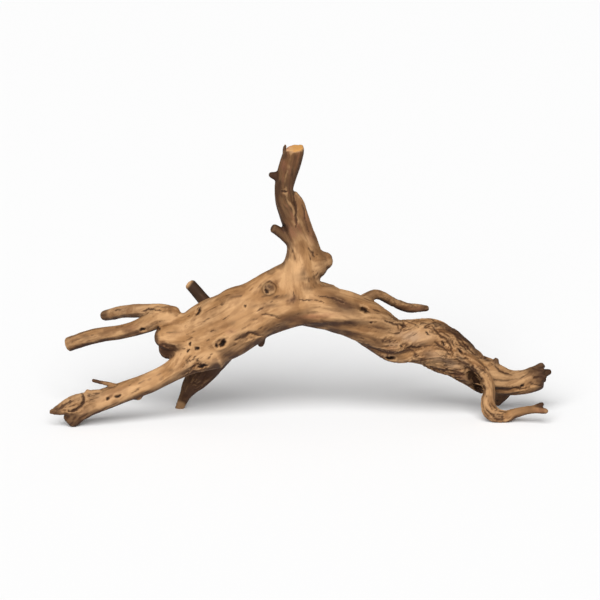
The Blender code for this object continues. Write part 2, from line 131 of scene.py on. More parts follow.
LIMB_BURR = [(-20.1, 3.35, -3.7, 0.4), (-21.0, 3.3, -3.8, 0.42), (-21.3, 3.62, -3.9, 0.2)]
FORK_BASE = [
    (-10.6, 9.5, -0.9, 1.5), (-11.9, 10.05, -0.7, 1.08), (-13.2, 11.0, -0.4, 0.95),
    (-14.2, 11.15, -0.2, 0.92),
]
FRONT_LEFT_ARM = [
    (-13.0, 11.1, -0.5, 1.0), (-14.3, 10.75, -0.3, 0.93), (-15.5, 10.27, 0.0, 0.84),
    (-16.8, 9.8, 0.35, 0.73), (-18.3, 9.45, 0.75, 0.69), (-19.8, 9.25, 1.1, 0.7),
    (-21.2, 8.95, 1.4, 0.74), (-22.4, 8.57, 1.6, 0.72), (-23.5, 8.2, 1.75, 0.68),
]
REAR_LEFT_ARM = [
    (-12.8, 11.2, -0.3, 0.9), (-14.0, 11.6, 0.3, 0.72), (-15.4, 11.6, 1.4, 0.7), (-16.8, 11.6, 2.6, 0.68),
    (-18.1, 11.5, 3.8, 0.6), (-19.0, 11.3, 4.7, 0.56), (-19.85, 11.12, 5.5, 0.5),
]
REAR_STUB = [
    (-8.7, 11.45, 0.6, 0.8), (-9.7, 12.65, 1.6, 0.6), (-10.52, 13.6, 2.5, 0.56),
    (-11.15, 14.3, 3.1, 0.56),
]
ROOT_FLAP = [
    (-8.6, 7.9, -0.6, 2.1), (-9.5, 6.2, 0.4, 1.6), (-10.25, 5.0, 1.0, 1.25), (-11.08, 4.0, 1.5, 0.93),
    (-11.6, 3.15, 1.85, 0.6), (-12.03, 2.3, 2.15, 0.48), (-12.28, 1.62, 2.35, 0.42),
]
COLLAR = [(-11.4, 9.1, -1.5, 1.5), (-12.9, 9.0, -1.8, 1.3), (-13.8, 9.0, -1.8, 1.05)]
COLLAR_HEEL = [(-11.8, 8.1, -0.6, 1.25), (-13.35, 7.92, -0.6, 1.12)]

# %% [markdown]
# ## The upright limb
#
# The upright was sawn off at the top, which is why its end is flat and brighter than the rest. A second rib
# has grown into its right side, its heel bulges over the trunk, and two dead twigs are left as pegs.

# %% The upright's stations
UPRIGHT = [
    (-0.4, 13.2, -1.5, 2.35), (-0.15, 15.1, -1.45, 1.95), (0.1, 16.7, -1.5, 1.62),
    (0.05, 18.1, -1.55, 1.38), (-0.4, 19.6, -1.7, 1.17), (-1.06, 21.2, -1.95, 1.02),
    (-1.56, 22.6, -2.15, 0.92), (-1.66, 23.8, -2.4, 0.9), (-1.4, 25.0, -2.7, 0.97),
    (-0.97, 26.3, -3.0, 1.03), (-0.62, 27.35, -3.2, 0.98), (-0.62, 27.65, -3.25, 0.97),
]
UPRIGHT_RIB = [
    (1.1, 16.6, -1.1, 1.2), (0.85, 18.2, -1.25, 0.95), (0.45, 19.8, -1.5, 0.72), (0.12, 21.2, -1.75, 0.6),
    (-0.12, 22.3, -1.95, 0.5), (-0.6, 23.2, -2.1, 0.3),
]
UPRIGHT_HEEL = [
    (0.1, 15.6, -1.1, 1.9), (1.2, 16.3, -1.1, 1.6), (1.95, 16.52, -1.1, 1.42), (2.55, 16.65, -1.1, 0.85),
]
UPRIGHT_ROOT = [
    (-0.4, 15.6, -1.3, 1.3), (-2.0, 15.0, -1.4, 1.15), (-3.6, 14.1, -1.5, 1.2), (-5.2, 12.85, -1.5, 1.56),
    (-6.8, 12.15, -1.4, 1.7), (-8.1, 11.35, -1.2, 1.45),
]
UPRIGHT_PEG = [
    (-0.7, 18.5, -1.7, 0.7), (-1.6, 19.1, -1.95, 0.5), (-2.3, 19.6, -2.15, 0.45),
    (-2.75, 19.85, -2.25, 0.42),
]
UPRIGHT_NUB = [(-1.9, 24.9, -2.6, 0.42), (-2.6, 25.0, -2.75, 0.34), (-2.95, 25.1, -2.85, 0.24)]
SAWN_SPUR = [(-1.5, 27.0, -3.5, 0.24), (-1.58, 27.55, -3.5, 0.19), (-1.48, 27.95, -3.5, 0.12)]

# %% [markdown]
# ## The right end
#
# A twig leaves the trunk behind. Below the broken end a thin root curls down to the floor and forward, and a
# dark heel hangs behind it. The trunk itself breaks off in splinters, which stand in a ring round its end.

# %% The right end's stations
REAR_TWIG = [
    (5.6, 11.9, -0.4, 0.95), (6.6, 12.8, 0.2, 0.6), (7.5, 13.26, 0.8, 0.48), (8.3, 13.05, 1.4, 0.44),
    (9.1, 12.6, 1.9, 0.43), (10.0, 12.15, 2.4, 0.44), (10.9, 11.9, 2.9, 0.44), (11.8, 11.9, 3.3, 0.38),
    (12.75, 11.86, 3.65, 0.26),
]
CURL = [
    (15.6, 7.6, -2.2, 0.5), (17.0, 6.6, -2.05, 0.55), (18.0, 5.7, -2.1, 0.54), (18.68, 4.7, -2.25, 0.52),
    (18.88, 3.6, -2.35, 0.55), (18.8, 2.5, -2.35, 0.66), (19.05, 1.6, -2.25, 0.74),
    (19.8, 1.05, -2.15, 0.66), (20.7, 0.98, -2.25, 0.59), (21.5, 1.35, -2.5, 0.47),
    (22.5, 1.6, -2.85, 0.39), (23.5, 1.72, -3.15, 0.35), (24.2, 1.63, -3.35, 0.29),
    (24.6, 1.56, -3.45, 0.23),
]
CURL_FORK = [(23.1, 1.72, -3.05, 0.28), (23.75, 2.02, -3.0, 0.25), (24.2, 2.25, -2.9, 0.22)]
HEEL_STUB = [(20.72, 4.1, 0.8, 0.93), (20.3, 3.1, 1.15, 0.65), (19.9, 2.33, 1.45, 0.36)]
HOLLOW_BACK = [
    (14.8, 6.5, 0.0, 1.1), (16.6, 5.15, 0.3, 0.8), (17.7, 4.2, 0.45, 0.65), (18.3, 3.62, 0.55, 0.42),
]

# (turn in degrees, reach, half width) of each splinter, and then its shape from root to tip:
# (how far along its reach, lift, lean outwards, half width over the splinter's own).
END_SPLINTERS = [
    (100, 0.6, 0.4), (60, 0.8, 0.34), (15, 1.6, 0.48), (-30, 1.0, 0.4), (-80, 0.35, 0.26),
    (150, 0.7, 0.34), (190, 0.95, 0.36), (235, 0.55, 0.28),
]
SPLINTER_SHAPE = [
    (-0.9, -0.35, 0.8, 1.3), (0.0, 0.0, 1.0, 1.15), (0.45, 0.18, 1.15, 0.85), (0.85, 0.3, 1.3, 0.5),
]
# The ring's size over the trunk's half width
SPLINTER_RING = 0.68


def end_splinters():
    """The stations of each splinter, in a ring round the trunk's end."""
    across, seen, back, half = TRUNK[-1][:4]
    for degrees, reach, width in END_SPLINTERS:
        turn = math.radians(degrees)
        above, aside = half * SPLINTER_RING * math.sin(turn), half * SPLINTER_RING * math.cos(turn)
        stations = []
        for along, lift, lean, size in SPLINTER_SHAPE:
            out = along * reach if along > 0 else along
            stations.append((across + out, seen + lift + above * lean, back + aside * lean, width * size))
        yield stations


# %% [markdown]
# ## Which limb is what
#
# Each limb gets the shape of its loft and its own tone. The tone says how much darker (below 0) or lighter
# (above 0) its wood is than the trunk's: roots that lay in the mud are dark, and worn limbs are pale. On the
# rear stub, the root flap and the collar's heel, which sit in shade, the dark tone is partly painted shade.

# %% The list of limbs
ROUND = {}
LIMBS = [
    (TRUNK, TRUNK_SHAPE, 0.0),
    (LOWER_LEFT_LIMB, {"dome": 0.4, "ribs": 0.02, "twist": 0.1}, 0.05),
    (SPLINTER, {"flatness": 0.45}, -0.35),
    (LIMB_TWIG, ROUND, -0.5),
    (LIMB_BUMP, ROUND, -0.2),
    (LIMB_BURR, ROUND, -0.3),
    (FORK_BASE, {"ribs": 0.03}, 0.0),
    (FRONT_LEFT_ARM, {"dome": 0.15, "ribs": 0.04, "twist": 0.1}, -0.3),
    (REAR_LEFT_ARM, {"ribs": 0.04, "twist": 0.1}, -0.15),
    # The rear stub sits in shade behind the trunk; its dark tone is partly painted shade.
    (REAR_STUB, {"dome": 0.15, "ribs": 0.03}, -1.35),
    # The root flap lies in shade under the trunk; its dark tone is partly staining and partly painted shade.
    (ROOT_FLAP, {"flatness": 0.6, "ribs": 0.04}, -0.9),
    (COLLAR, {"flatness": 0.9}, 0.1),
    # The collar's heel is an undercut; its dark tone is partly painted shade.
    (COLLAR_HEEL, ROUND, -0.7),
    (UPRIGHT, {"dome": 0.05, "ribs": 0.03, "twist": 0.12}, 0.0),
    (UPRIGHT_RIB, {"ribs": 0.05, "twist": 0.1}, 0.0),
    (UPRIGHT_HEEL, ROUND, -0.4),
    (UPRIGHT_ROOT, ROUND, 0.15),
    (UPRIGHT_PEG, {"dome": 0.3}, -0.5),
    (UPRIGHT_NUB, ROUND, -1.3),
    (SAWN_SPUR, ROUND, -0.9),
    (REAR_TWIG, {"ribs": 0.05, "twist": 0.3}, -0.35),
    (HOLLOW_BACK, ROUND, -0.6),
    (SHOULDER_BUMP, ROUND, -0.5),
    (CURL, {"flatness": 0.95, "ribs": 0.06, "twist": 0.35}, 0.1),
    (CURL_FORK, ROUND, -0.9),
    (HEEL_STUB, ROUND, -0.55),
    (TRUNK_KNOT, {"dome": 0.25, "reference": UPWARDS}, -0.4),
    (TRUNK_NUB, ROUND, -1.0),
    (REAR_RIDGE, ROUND, 0.0),
    (REAR_SCAR, {"dome": 0.25, "reference": UPWARDS}, 0.0),
] + [(stations, {"dome": 0.5}, -1.0) for stations in end_splinters()]
print(len(LIMBS), "limbs")

# %% [markdown]
# ## A curve through the stations
#
# A limb bends softly, so its stations are joined by a Catmull-Rom curve, which passes through each of them.
# Every number of a station goes along the same curve, so the thickness swells as softly as the limb bends.

# %% Read a limb's curve
PATH_STEP = 0.3


def unit(vectors):
    """The vectors at length 1."""
    return vectors / np.linalg.norm(vectors, axis=-1, keepdims=True)


def read_path(stations, step=PATH_STEP):
    """Centres, half widths and the rest of the stations, in metres, at steps given in squares.

    Between b and c, with a before them and d after, the curve at t is b + ((c - a) t + (2a - 5b + 4c - d) t²
    + (3b - a - 3c + d) t³) / 2. The ends are continued straight.
    """
    rows = np.array(stations, float)
    rows[:, :4] = np.column_stack([place(rows[:, 0], rows[:, 1], rows[:, 2]), rows[:, 3] * SQUARE])
    ends = np.vstack([2 * rows[0] - rows[1], rows, 2 * rows[-1] - rows[-2]])
    pieces = []
    for a, b, c, d in zip(ends, ends[1:], ends[2:], ends[3:]):
        count = max(2, round(np.linalg.norm((c - b)[:3]) / (step * SQUARE)))
        t = np.linspace(0, 1, count, endpoint=False)[:, None]
        bend = (2 * a - 5 * b + 4 * c - d) * t**2 + (3 * b - a - 3 * c + d) * t**3
        pieces.append(b + ((c - a) * t + bend) / 2)
    path = np.vstack(pieces + [rows[-1:]])
    return path[:, :3], path[:, 3], path[:, 4:]


def limb_frame(centres, reference):
    """Along, across and deep directions at each centre, and the run from the first one in squares."""
    along = unit(np.gradient(centres, axis=0))
    across = unit(np.cross(along, reference))
    steps = np.linalg.norm(np.diff(centres, axis=0), axis=1)
    run = np.concatenate([[0], np.cumsum(steps)]) / SQUARE
    return along, across, np.cross(across, along), run


# %% [markdown]
# ## A limb as a loft
#
# A ring of points is carried along the curve. The ribs of the twisted wood are waves round the ring, which
# turn a little further with every step. All rings of a limb are worked out at once as one array.

# %% Loft a limb
# The waves round a section: (count, share of the height, phase, drift a square).
RIB_WAVES = [(5, 1.0, 0.0, 0.0), (8, 0.7, 1.3, 0.0), (3, 0.4, -1.57, -0.5)]
DOME_LEANS = np.radians([25, 50, 72])


def loft(stations, sides=24, flatness=1.0, dome=0.8, ribs=0.0, twist=0.0, reference=TOWARDS_EYE):
    """Rings of a limb as an array (ring, side, 3), with its ends rounded off.

    A point of a ring is the centre plus the half width times (1 + ribs * wave), at its turn between the
    across and deep directions. The rings of a dome lean in by the cosine of their lean, and rise by its sine.
    """
    centres, half, rest = read_path(stations)
    flat = rest[:, 0] if rest.shape[1] else np.full(len(half), flatness)
    depth = rest[:, 1] if rest.shape[1] else np.full(len(half), ribs)
    along, across, deep, run = limb_frame(centres, reference)
    turn = np.linspace(0, 2 * math.pi, sides, endpoint=False)
    wound = turn[None] - twist * run[:, None]
    wave = 0
    for count, share, phase, drift in RIB_WAVES:
        wave = wave + share * np.cos(count * wound + phase + drift * run[:, None])
    swell = half[:, None] * (1 + depth[:, None] * wave)
    offset = swell[..., None] * np.cos(turn)[None, :, None] * across[:, None]
    offset = offset + (swell * flat[:, None] * np.sin(turn))[..., None] * deep[:, None]
    first, last = [], []
    for lean in DOME_LEANS:
        bulge, shrink = dome * math.sin(lean), math.cos(lean)
        first.insert(0, centres[0] - along[0] * half[0] * bulge + offset[0] * shrink)
        last.append(centres[-1] + along[-1] * half[-1] * bulge + offset[-1] * shrink)
    return np.concatenate([first, centres[:, None] + offset, last])


# %% [markdown]
# ## From rings to one mesh
#
# Neighbouring rings are joined by four-sided faces, and the first and last ring are closed by one face each,
# all facing outwards. The closed limbs run into each other; the next step fuses them.

# %% Join the rings
def ring_faces(count, sides, first):
    """Faces between the rings of one limb, whose points start at number first, and its two end faces."""
    corner = first + np.arange(count * sides).reshape(count, sides)
    after = np.roll(corner, -1, axis=1)
    quads = np.stack([corner[:-1], corner[1:], after[1:], after[:-1]], axis=-1).reshape(-1, 4)
    return quads.tolist() + [corner[0].tolist(), corner[-1][::-1].tolist()]


def limb_mesh():
    """All limbs as closed shells in one mesh."""
    points, faces = [], []
    for stations, shape, _ in LIMBS:
        rings = loft(stations, **shape)
        faces += ring_faces(len(rings), rings.shape[1], sum(map(len, points)))
        points.append(rings.reshape(-1, 3))
    mesh = bpy.data.meshes.new("driftwood_limbs")
    mesh.from_pydata(np.concatenate(points).tolist(), [], faces)
    mesh.update()
    return mesh


wood = bpy.data.objects.new("weathered_wood", limb_mesh())
bpy.context.scene.collection.objects.link(wood)
print("The lofts have", len(wood.data.polygons), "faces")

# %% [markdown]
# ## One skin
#
# A voxel remesh fills the lofts with small cubes and wraps one skin round them, so no inner walls are left.
# The cubes are about a pixel of the picture in size. Four rounds of smoothing take their steps away.

# %% Fuse the limbs
SKIN_STEP = 0.0010
SOFTEN_FACTOR, SOFTEN_ROUNDS = 0.5, 4


def keep(piece):
    """Make the modified shape the piece's own mesh."""
    graph = bpy.context.evaluated_depsgraph_get()
    shaped = bpy.data.meshes.new_from_object(piece.evaluated_get(graph))
    old = piece.data
    piece.modifiers.clear()
    piece.data = shaped
    bpy.data.meshes.remove(old)


def fuse(piece):
    """Voxel remesh, then smooth."""
    skin = piece.modifiers.new("skin", "REMESH")
    skin.mode = "VOXEL"
    skin.voxel_size = SKIN_STEP
    soften = piece.modifiers.new("soften", "SMOOTH")
    soften.factor = SOFTEN_FACTOR
    soften.iterations = SOFTEN_ROUNDS
    keep(piece)


fuse(wood)
print("The skin has", len(wood.data.vertices), "points")


# %% [markdown]
# ## Reading and writing whole meshes
#
# Blender hands a mesh's numbers over as one flat list. These helpers turn it into an array and back, so that
# every later step can work on all points at once.

# %% Mesh helpers
def read_rows(elements, name, kind=np.float32, width=3):
    """One row of numbers for each element."""
    values = np.empty(len(elements) * width, kind)
    elements.foreach_get(name, values)
    return values.reshape(-1, width)


def read_points(mesh):
    return read_rows(mesh.vertices, "co").astype(float)


def write_points(mesh, points):
    mesh.vertices.foreach_set("co", points.astype(np.float32).ravel())
    mesh.update()


def read_normals(mesh):
    return read_rows(mesh.vertices, "normal").astype(float)


class Neighbours:
    """Who is next to whom on a mesh, to average over the skin."""

    def __init__(self, mesh):
        self.start, self.end = read_rows(mesh.edges, "vertices", np.int32, 2).T
        self.count = len(mesh.vertices)
        ends = np.concatenate([self.start, self.end])
        self.degree = np.bincount(ends, minlength=self.count)

    def mean(self, values):
        """The mean of the neighbours' values, for each point."""
        forth = np.bincount(self.start, values[self.end], self.count)
        return (forth + np.bincount(self.end, values[self.start], self.count)) / self.degree

    def mean_rows(self, rows):
        return np.stack([self.mean(column) for column in rows.T], axis=1)


# %% [markdown]
# ## Wood grows into its creases
#
# Where two limbs meet, real wood doesn't cross like two pipes: it fills the crease with a soft web. Points
# there move towards their neighbours' mean, but only outwards, so nothing shrinks. How much they may move
# depends on how close a second limb is.

# %% Fill the creases
CREASE_REACH, CREASE_SHARE = 0.0035, 0.8
CREASE_STEPS, NORMALS_EVERY = 45, 5


def far_from(points, centres):
    """The distance from each point to each centre, from |p|² - 2 p·c + |c|²."""
    square = (points**2).sum(axis=1)[:, None] - 2 * points @ centres.T + (centres**2).sum(axis=1)
    return np.sqrt(np.maximum(square, 0))


def crowding(points):
    """1 where two limbs meet and 0 where the next limb is CREASE_REACH away."""
    gaps = []
    for stations, _, _ in LIMBS:
        centres, half, _ = read_path(stations)
        gaps.append((far_from(points, centres) - half).min(axis=1))
    nearest, second = np.partition(np.stack(gaps), 1, axis=0)[:2]
    return np.clip(1 - (second - np.maximum(nearest, 0)) / CREASE_REACH, 0, 1)


def fill_creases(mesh):
    """Move points to their neighbours' mean, times the crowding, where that leads outwards."""
    points = read_points(mesh)
    beside = Neighbours(mesh)
    share = CREASE_SHARE * crowding(points)[:, None]
    for step in range(CREASE_STEPS):
        move = beside.mean_rows(points) - points
        if step % NORMALS_EVERY == 0:
            write_points(mesh, points)
            normals = read_normals(mesh)
        points += share * np.where((move * normals).sum(axis=1, keepdims=True) > 0, move, 0)
    write_points(mesh, points)


fill_creases(wood.data)


# %% [markdown]
# ## Noise
#
# Nature's marks are irregular but not random from point to point. Value noise gives that: random numbers on
# a cubic grid, faded into each other between the grid points. The numbers come from a seeded generator, so
# the wood is the same each time. Adding the same noise at twice the fineness makes it rougher.

# %% Value noise
GRID = 48


def value_noise(where, seed):
    """Random values from 0 to 1 at whole-number places, with 3t² - 2t³ as the fade between them."""
    values = np.random.default_rng(seed).random((GRID, GRID, GRID))
    cell = np.floor(where).astype(int)
    t = where - cell
    t = t * t * (3 - 2 * t)
    total = np.zeros(len(where))
    for corner in itertools.product((0, 1), repeat=3):
        share = np.prod(np.where(corner, t, 1 - t), axis=1)
        x, y, z = ((cell + corner) % GRID).T
        total += share * values[x, y, z]
    return total


def layered_noise(where, seed, layers=2):
    """The mean of several layers of noise. Each is twice as fine and counts half as much."""
    weights = [0.5**layer for layer in range(layers)]
    total = sum(w * value_noise(where * 2**layer, seed + layer) for layer, w in enumerate(weights))
    return total / sum(weights)


def rise(values, low, high):
    """0 below low, 1 above high, with a soft step between them. It falls if low is above high."""
    t = np.clip((values - low) / (high - low), 0, 1)
    return t * t * (3 - 2 * t)


# %% [markdown]
# ## Marks that are placed one by one
#
# Hollows, worm holes and stains sit where they are seen from the front, or from the back. Each is an oval
# on what the eye sees. It acts only on skin that faces that way, so it doesn't come out on the other side.

# %% Marks as seen from one side
FACING_GAIN = 2.5
WAVE, WAVE_SIZE = 0.34, 0.0034
LINE_TIP, LINE_TAPER = 0.35, 0.25


class Sight:
    """The skin as it is seen from one side: across, seen height, and how far it faces the eye."""

    def __init__(self, points, normals, towards, lift):
        upwards = np.array([0.0, -towards[1] * towards[2], towards[1] ** 2]) / abs(towards[1])
        self.towards = towards
        self.across = points[:, 0] / SQUARE + MIDDLE_ACROSS
        self.seen = points @ upwards / SQUARE + lift
        self.facing = np.clip(normals @ towards * FACING_GAIN, 0, 1)
        waves = [layered_noise(points / WAVE_SIZE, seed, 3) - 0.5 for seed in (21, 22)]
        self.wavy_across, self.wavy_seen = self.across + WAVE * waves[0], self.seen + WAVE * waves[1]

    def ovals(self, marks, steepness):
        """The sum of the marks. One is its strength times exp(-(long² + wide²) ** steepness).

        Long and wide are the distances from its middle over its half length and its half width. A mark is
        (across, seen height, half length, half width, turn in degrees, strength).
        """
        total = np.zeros(len(self.across))
        for middle, height, half_length, half_width, degrees, strength in marks:
            turn = math.radians(degrees)
            right, up = self.wavy_across - middle, self.wavy_seen - height
            long = (right * math.cos(turn) + up * math.sin(turn)) / half_length
            wide = (up * math.cos(turn) - right * math.sin(turn)) / half_width
            total += strength * np.exp(-((long**2 + wide**2) ** steepness))
        return total * self.facing

    def line(self, half_width, route):
        """1 on a wavy line through the route's points. It thins out over the first and last quarter."""
        corners = np.array(route)
        lengths = np.linalg.norm(np.diff(corners, axis=0), axis=1)
        starts = np.concatenate([[0], np.cumsum(lengths)])
        gap, run = np.full(len(self.across), np.inf), np.zeros(len(self.across))
        for (x0, y0), (x1, y1), length, start in zip(corners, corners[1:], lengths, starts):
            right, up = self.wavy_across - x0, self.wavy_seen - y0
            ahead = np.clip((right * (x1 - x0) + up * (y1 - y0)) / length**2, 0, 1)
            here = np.hypot(right - ahead * (x1 - x0), up - ahead * (y1 - y0))
            run = np.where(here < gap, start + ahead * length, run)
            gap = np.minimum(gap, here)
        share = run / starts[-1]
        tapered = rise(share, 0, LINE_TAPER) * rise(share, 1, 1 - LINE_TAPER)
        thinned = half_width * (LINE_TIP + (1 - LINE_TIP) * tapered)
        return np.exp(-((gap / thinned) ** 2))

    def lines(self, cracks):
        """The strongest of the cracks. A crack is (half width, strength, its points as seen)."""
        each = [strength * self.line(half_width, route) for half_width, strength, route in cracks]
        return np.max(each, axis=0) * self.facing

    def rings(self, knots):
        """Round grooves about the knots: (across, seen height, radius, half width, strength)."""
        total = np.zeros(len(self.across))
        for middle, height, radius, half_width, strength in knots:
            away = np.hypot(self.wavy_across - middle, self.wavy_seen - height)
            total += strength * np.exp(-(((away - radius) / half_width) ** 2))
        return total * self.facing


def from_front(points, normals):
    return Sight(points, normals, TOWARDS_EYE, (MIDDLE_BACK - FRONT_FOOT_BACK) * math.sin(SIGHT))


def from_back(points, normals):
    return Sight(points, normals, BACKWARDS, 0.0)


# %% [markdown]
# ## The big hollows
#
# Rot has eaten a deep hollow behind the curled root, and smaller ones elsewhere. They are pressed straight
# in along the line of sight, which keeps their outline where the eye expects it.

# %% Press the hollows in
FRONT_HOLLOWS = [
    (17.6, 4.6, 1.35, 0.5, -62, 1.5), (-13.1, 8.05, 0.9, 0.28, -28, 0.25),
    (-8.0, 8.4, 0.5, 0.36, 35, 0.2), (-5.2, 9.15, 1.25, 0.36, 14, 0.22),
    (6.5, 11.7, 0.6, 0.26, -22, 0.35), (9.0, 6.95, 0.4, 0.22, -5, 0.3),
    (-10.2, 11.6, 0.5, 0.25, 60, 0.35),
]
BACK_HOLLOWS = [
    (-5.8, 9.4, 2.4, 0.5, 158, 0.5), (4.4, 9.9, 1.9, 0.42, 14, 0.4), (12.6, 6.2, 1.6, 0.4, 30, 0.45),
    (0.4, 15.2, 1.8, 0.35, 84, 0.4),
]
HOLLOW_STEEPNESS = 1.5


def press(mesh, look, marks):
    """Push the skin away from the eye by the ovals."""
    points = read_points(mesh)
    sight = look(points, read_normals(mesh))
    points -= (sight.ovals(marks, HOLLOW_STEEPNESS) * SQUARE)[:, None] * sight.towards
    write_points(mesh, points)


press(wood.data, from_front, FRONT_HOLLOWS)
press(wood.data, from_back, BACK_HOLLOWS)

# %% [markdown]
# ## Along the fibres
#
# Everything on driftwood follows its fibres: furrows, cracks and stains are long along them and narrow
# across. So each point needs its place on the fibres: how far along the limb it is, and where on the limb's
# section, with the twist unwound. Noise stretched along that first number gives streaks. Near a fork two
# limbs both have a say, and their streaks fade into each other.

# %% Places on the fibres
FINE_STEP = 0.15
BLEND = 0.0012
LEAST_SHARE = 0.04
WOBBLE = 0.0022
WOBBLE_SIZE = 0.022
SMOOTH_TWIST, ROUGH_TWIST = 0.05, 0.26
TWIST_TURN = (16.0, 24.0)
CLEAR_TURN = (0.6, 0.97)
LIMB_SHIFT = 7.3


class Fibres:
    """For each limb, the points it reaches, its say there, and their places on its fibres."""

    def __init__(self, points):
        self.count = len(points)
        readings = [self.read_limb(points, stations, shape) for stations, shape, _ in LIMBS]
        gaps = np.stack([gap for gap, _, _ in readings])
        say = np.exp(-(gaps - gaps.min(axis=0)) / BLEND)
        self.nearest = gaps.argmin(axis=0)
        self.say = np.where(say < LEAST_SHARE, 0, say)
        self.places = np.stack([where for _, where, _ in readings])
        self.halves = np.stack([half for _, _, half in readings])
        bend = [value_noise(points / WOBBLE_SIZE, seed) - 0.5 for seed in (11, 12)]
        self.places[:, :, 1:] += 2 * WOBBLE * np.stack(bend, axis=1)

    def read_limb(self, points, stations, shape):
        """The gap to the limb's skin, (run, right, back) on its unwound section, and its half width."""
        centres, half, _ = read_path(stations, FINE_STEP)
        along, across, deep, run = limb_frame(centres, shape.get("reference", TOWARDS_EYE))
        gaps = far_from(points, centres) - half
        near = gaps.argmin(axis=1)
        arm = points - centres[near]
        ahead = (arm * along[near]).sum(axis=1)
        turn = np.arctan2((arm * deep[near]).sum(axis=1), (arm * across[near]).sum(axis=1))
        turn -= self.wind(run, stations, shape)[near]
        reach = half[near]
        forth = run[near] * SQUARE + ahead
        where = np.stack([forth, reach * np.cos(turn), reach * np.sin(turn)], axis=1)
        return gaps.min(axis=1), where, reach

    def wind(self, run, stations, shape):
        """How far the fibres have turned. The trunk is wound loosely at first and tightly further on."""
        if stations is not TRUNK:
            return shape.get("twist", 0.0) * run
        twist = SMOOTH_TWIST + (ROUGH_TWIST - SMOOTH_TWIST) * rise(run, *TWIST_TURN)
        return np.concatenate([[0], np.cumsum(twist[1:] * np.diff(run))])

    def streaks(self, long, wide, seed, layers=2):
        """Noise about 0.5, long along the fibres and wide across them, in metres, and other on each limb."""
        total = np.zeros(self.count)
        for number, (say, where) in enumerate(zip(self.say, self.places)):
            here = say > 0
            spot = where[here] / [long, wide, wide] + LIMB_SHIFT * number
            total[here] += say[here] * (layered_noise(spot, seed, layers) - 0.5)
        return 0.5 + total / np.sqrt((self.say**2).sum(axis=0))

    def tone(self):
        """Each limb's own tone, shared out by its say."""
        tones = np.array([tone for _, _, tone in LIMBS])
        return (self.say * tones[:, None]).sum(axis=0) / self.say.sum(axis=0)

    def clearness(self):
        """1 where one limb has all the say, and 0 where two share it."""
        return rise(self.say.max(axis=0) / self.say.sum(axis=0), *CLEAR_TURN)

    def own_places(self):
        """The places on the nearest limb's fibres."""
        return self.places[self.nearest, np.arange(self.count)]

    def own_half(self):
        """The nearest limb's half width."""
        return self.halves[self.nearest, np.arange(self.count)]


# %% [markdown]
# ## What the photograph shows on the front
#
# These lists hold what makes this piece this piece: its worm holes, cracks, furrows and stains. They are
# written in the same squares as the stations, so each can be found on the wood by its place. No formula gives
# them, and each was placed one by one.

# %% Marks on the front
# Worm holes and rot holes: (across, seen height, half length, half width, turn, depth in squares)
WORM_HOLES = [
    (-8.33, 8.18, 0.17, 0.15, 0, 0.3), (-7.75, 8.3, 0.3, 0.22, 40, 0.5), (-7.6, 8.55, 0.2, 0.16, 0, 0.4),
    (-11.0, 8.3, 0.2, 0.12, 70, 0.25), (-11.25, 7.6, 0.22, 0.1, 60, 0.2),
    (-10.35, 7.85, 0.2, 0.16, 0, 0.3), (-9.75, 6.15, 0.5, 0.14, 15, 0.35),
    (-5.47, 12.12, 0.14, 0.12, 0, 0.2), (6.4, 11.6, 0.46, 0.17, -20, 0.5),
    (9.0, 6.93, 0.45, 0.16, -5, 0.4), (7.0, 10.45, 0.1, 0.09, 0, 0.15), (10.0, 8.05, 0.12, 0.1, 0, 0.15),
    (-18.2, 3.1, 0.34, 0.13, 12, 0.25), (-19.25, 2.83, 0.18, 0.13, 40, 0.25),
    (-15.85, 9.75, 0.25, 0.16, 10, 0.3), (22.3, 4.1, 0.25, 0.12, 50, 0.2),
    (-1.75, 20.1, 0.2, 0.14, 20, 0.25), (-14.2, 9.9, 0.2, 0.14, -40, 0.3),
    (-10.15, 11.55, 0.4, 0.12, 60, 0.3), (19.85, 2.5, 0.1, 0.08, 0, 0.1),
    (-3.35, 13.55, 0.28, 0.13, -40, 0.3), (14.3, 8.3, 0.3, 0.1, -50, 0.25),
    (15.9, 7.6, 0.35, 0.1, -45, 0.25), (12.7, 9.4, 0.3, 0.1, -40, 0.2),
]
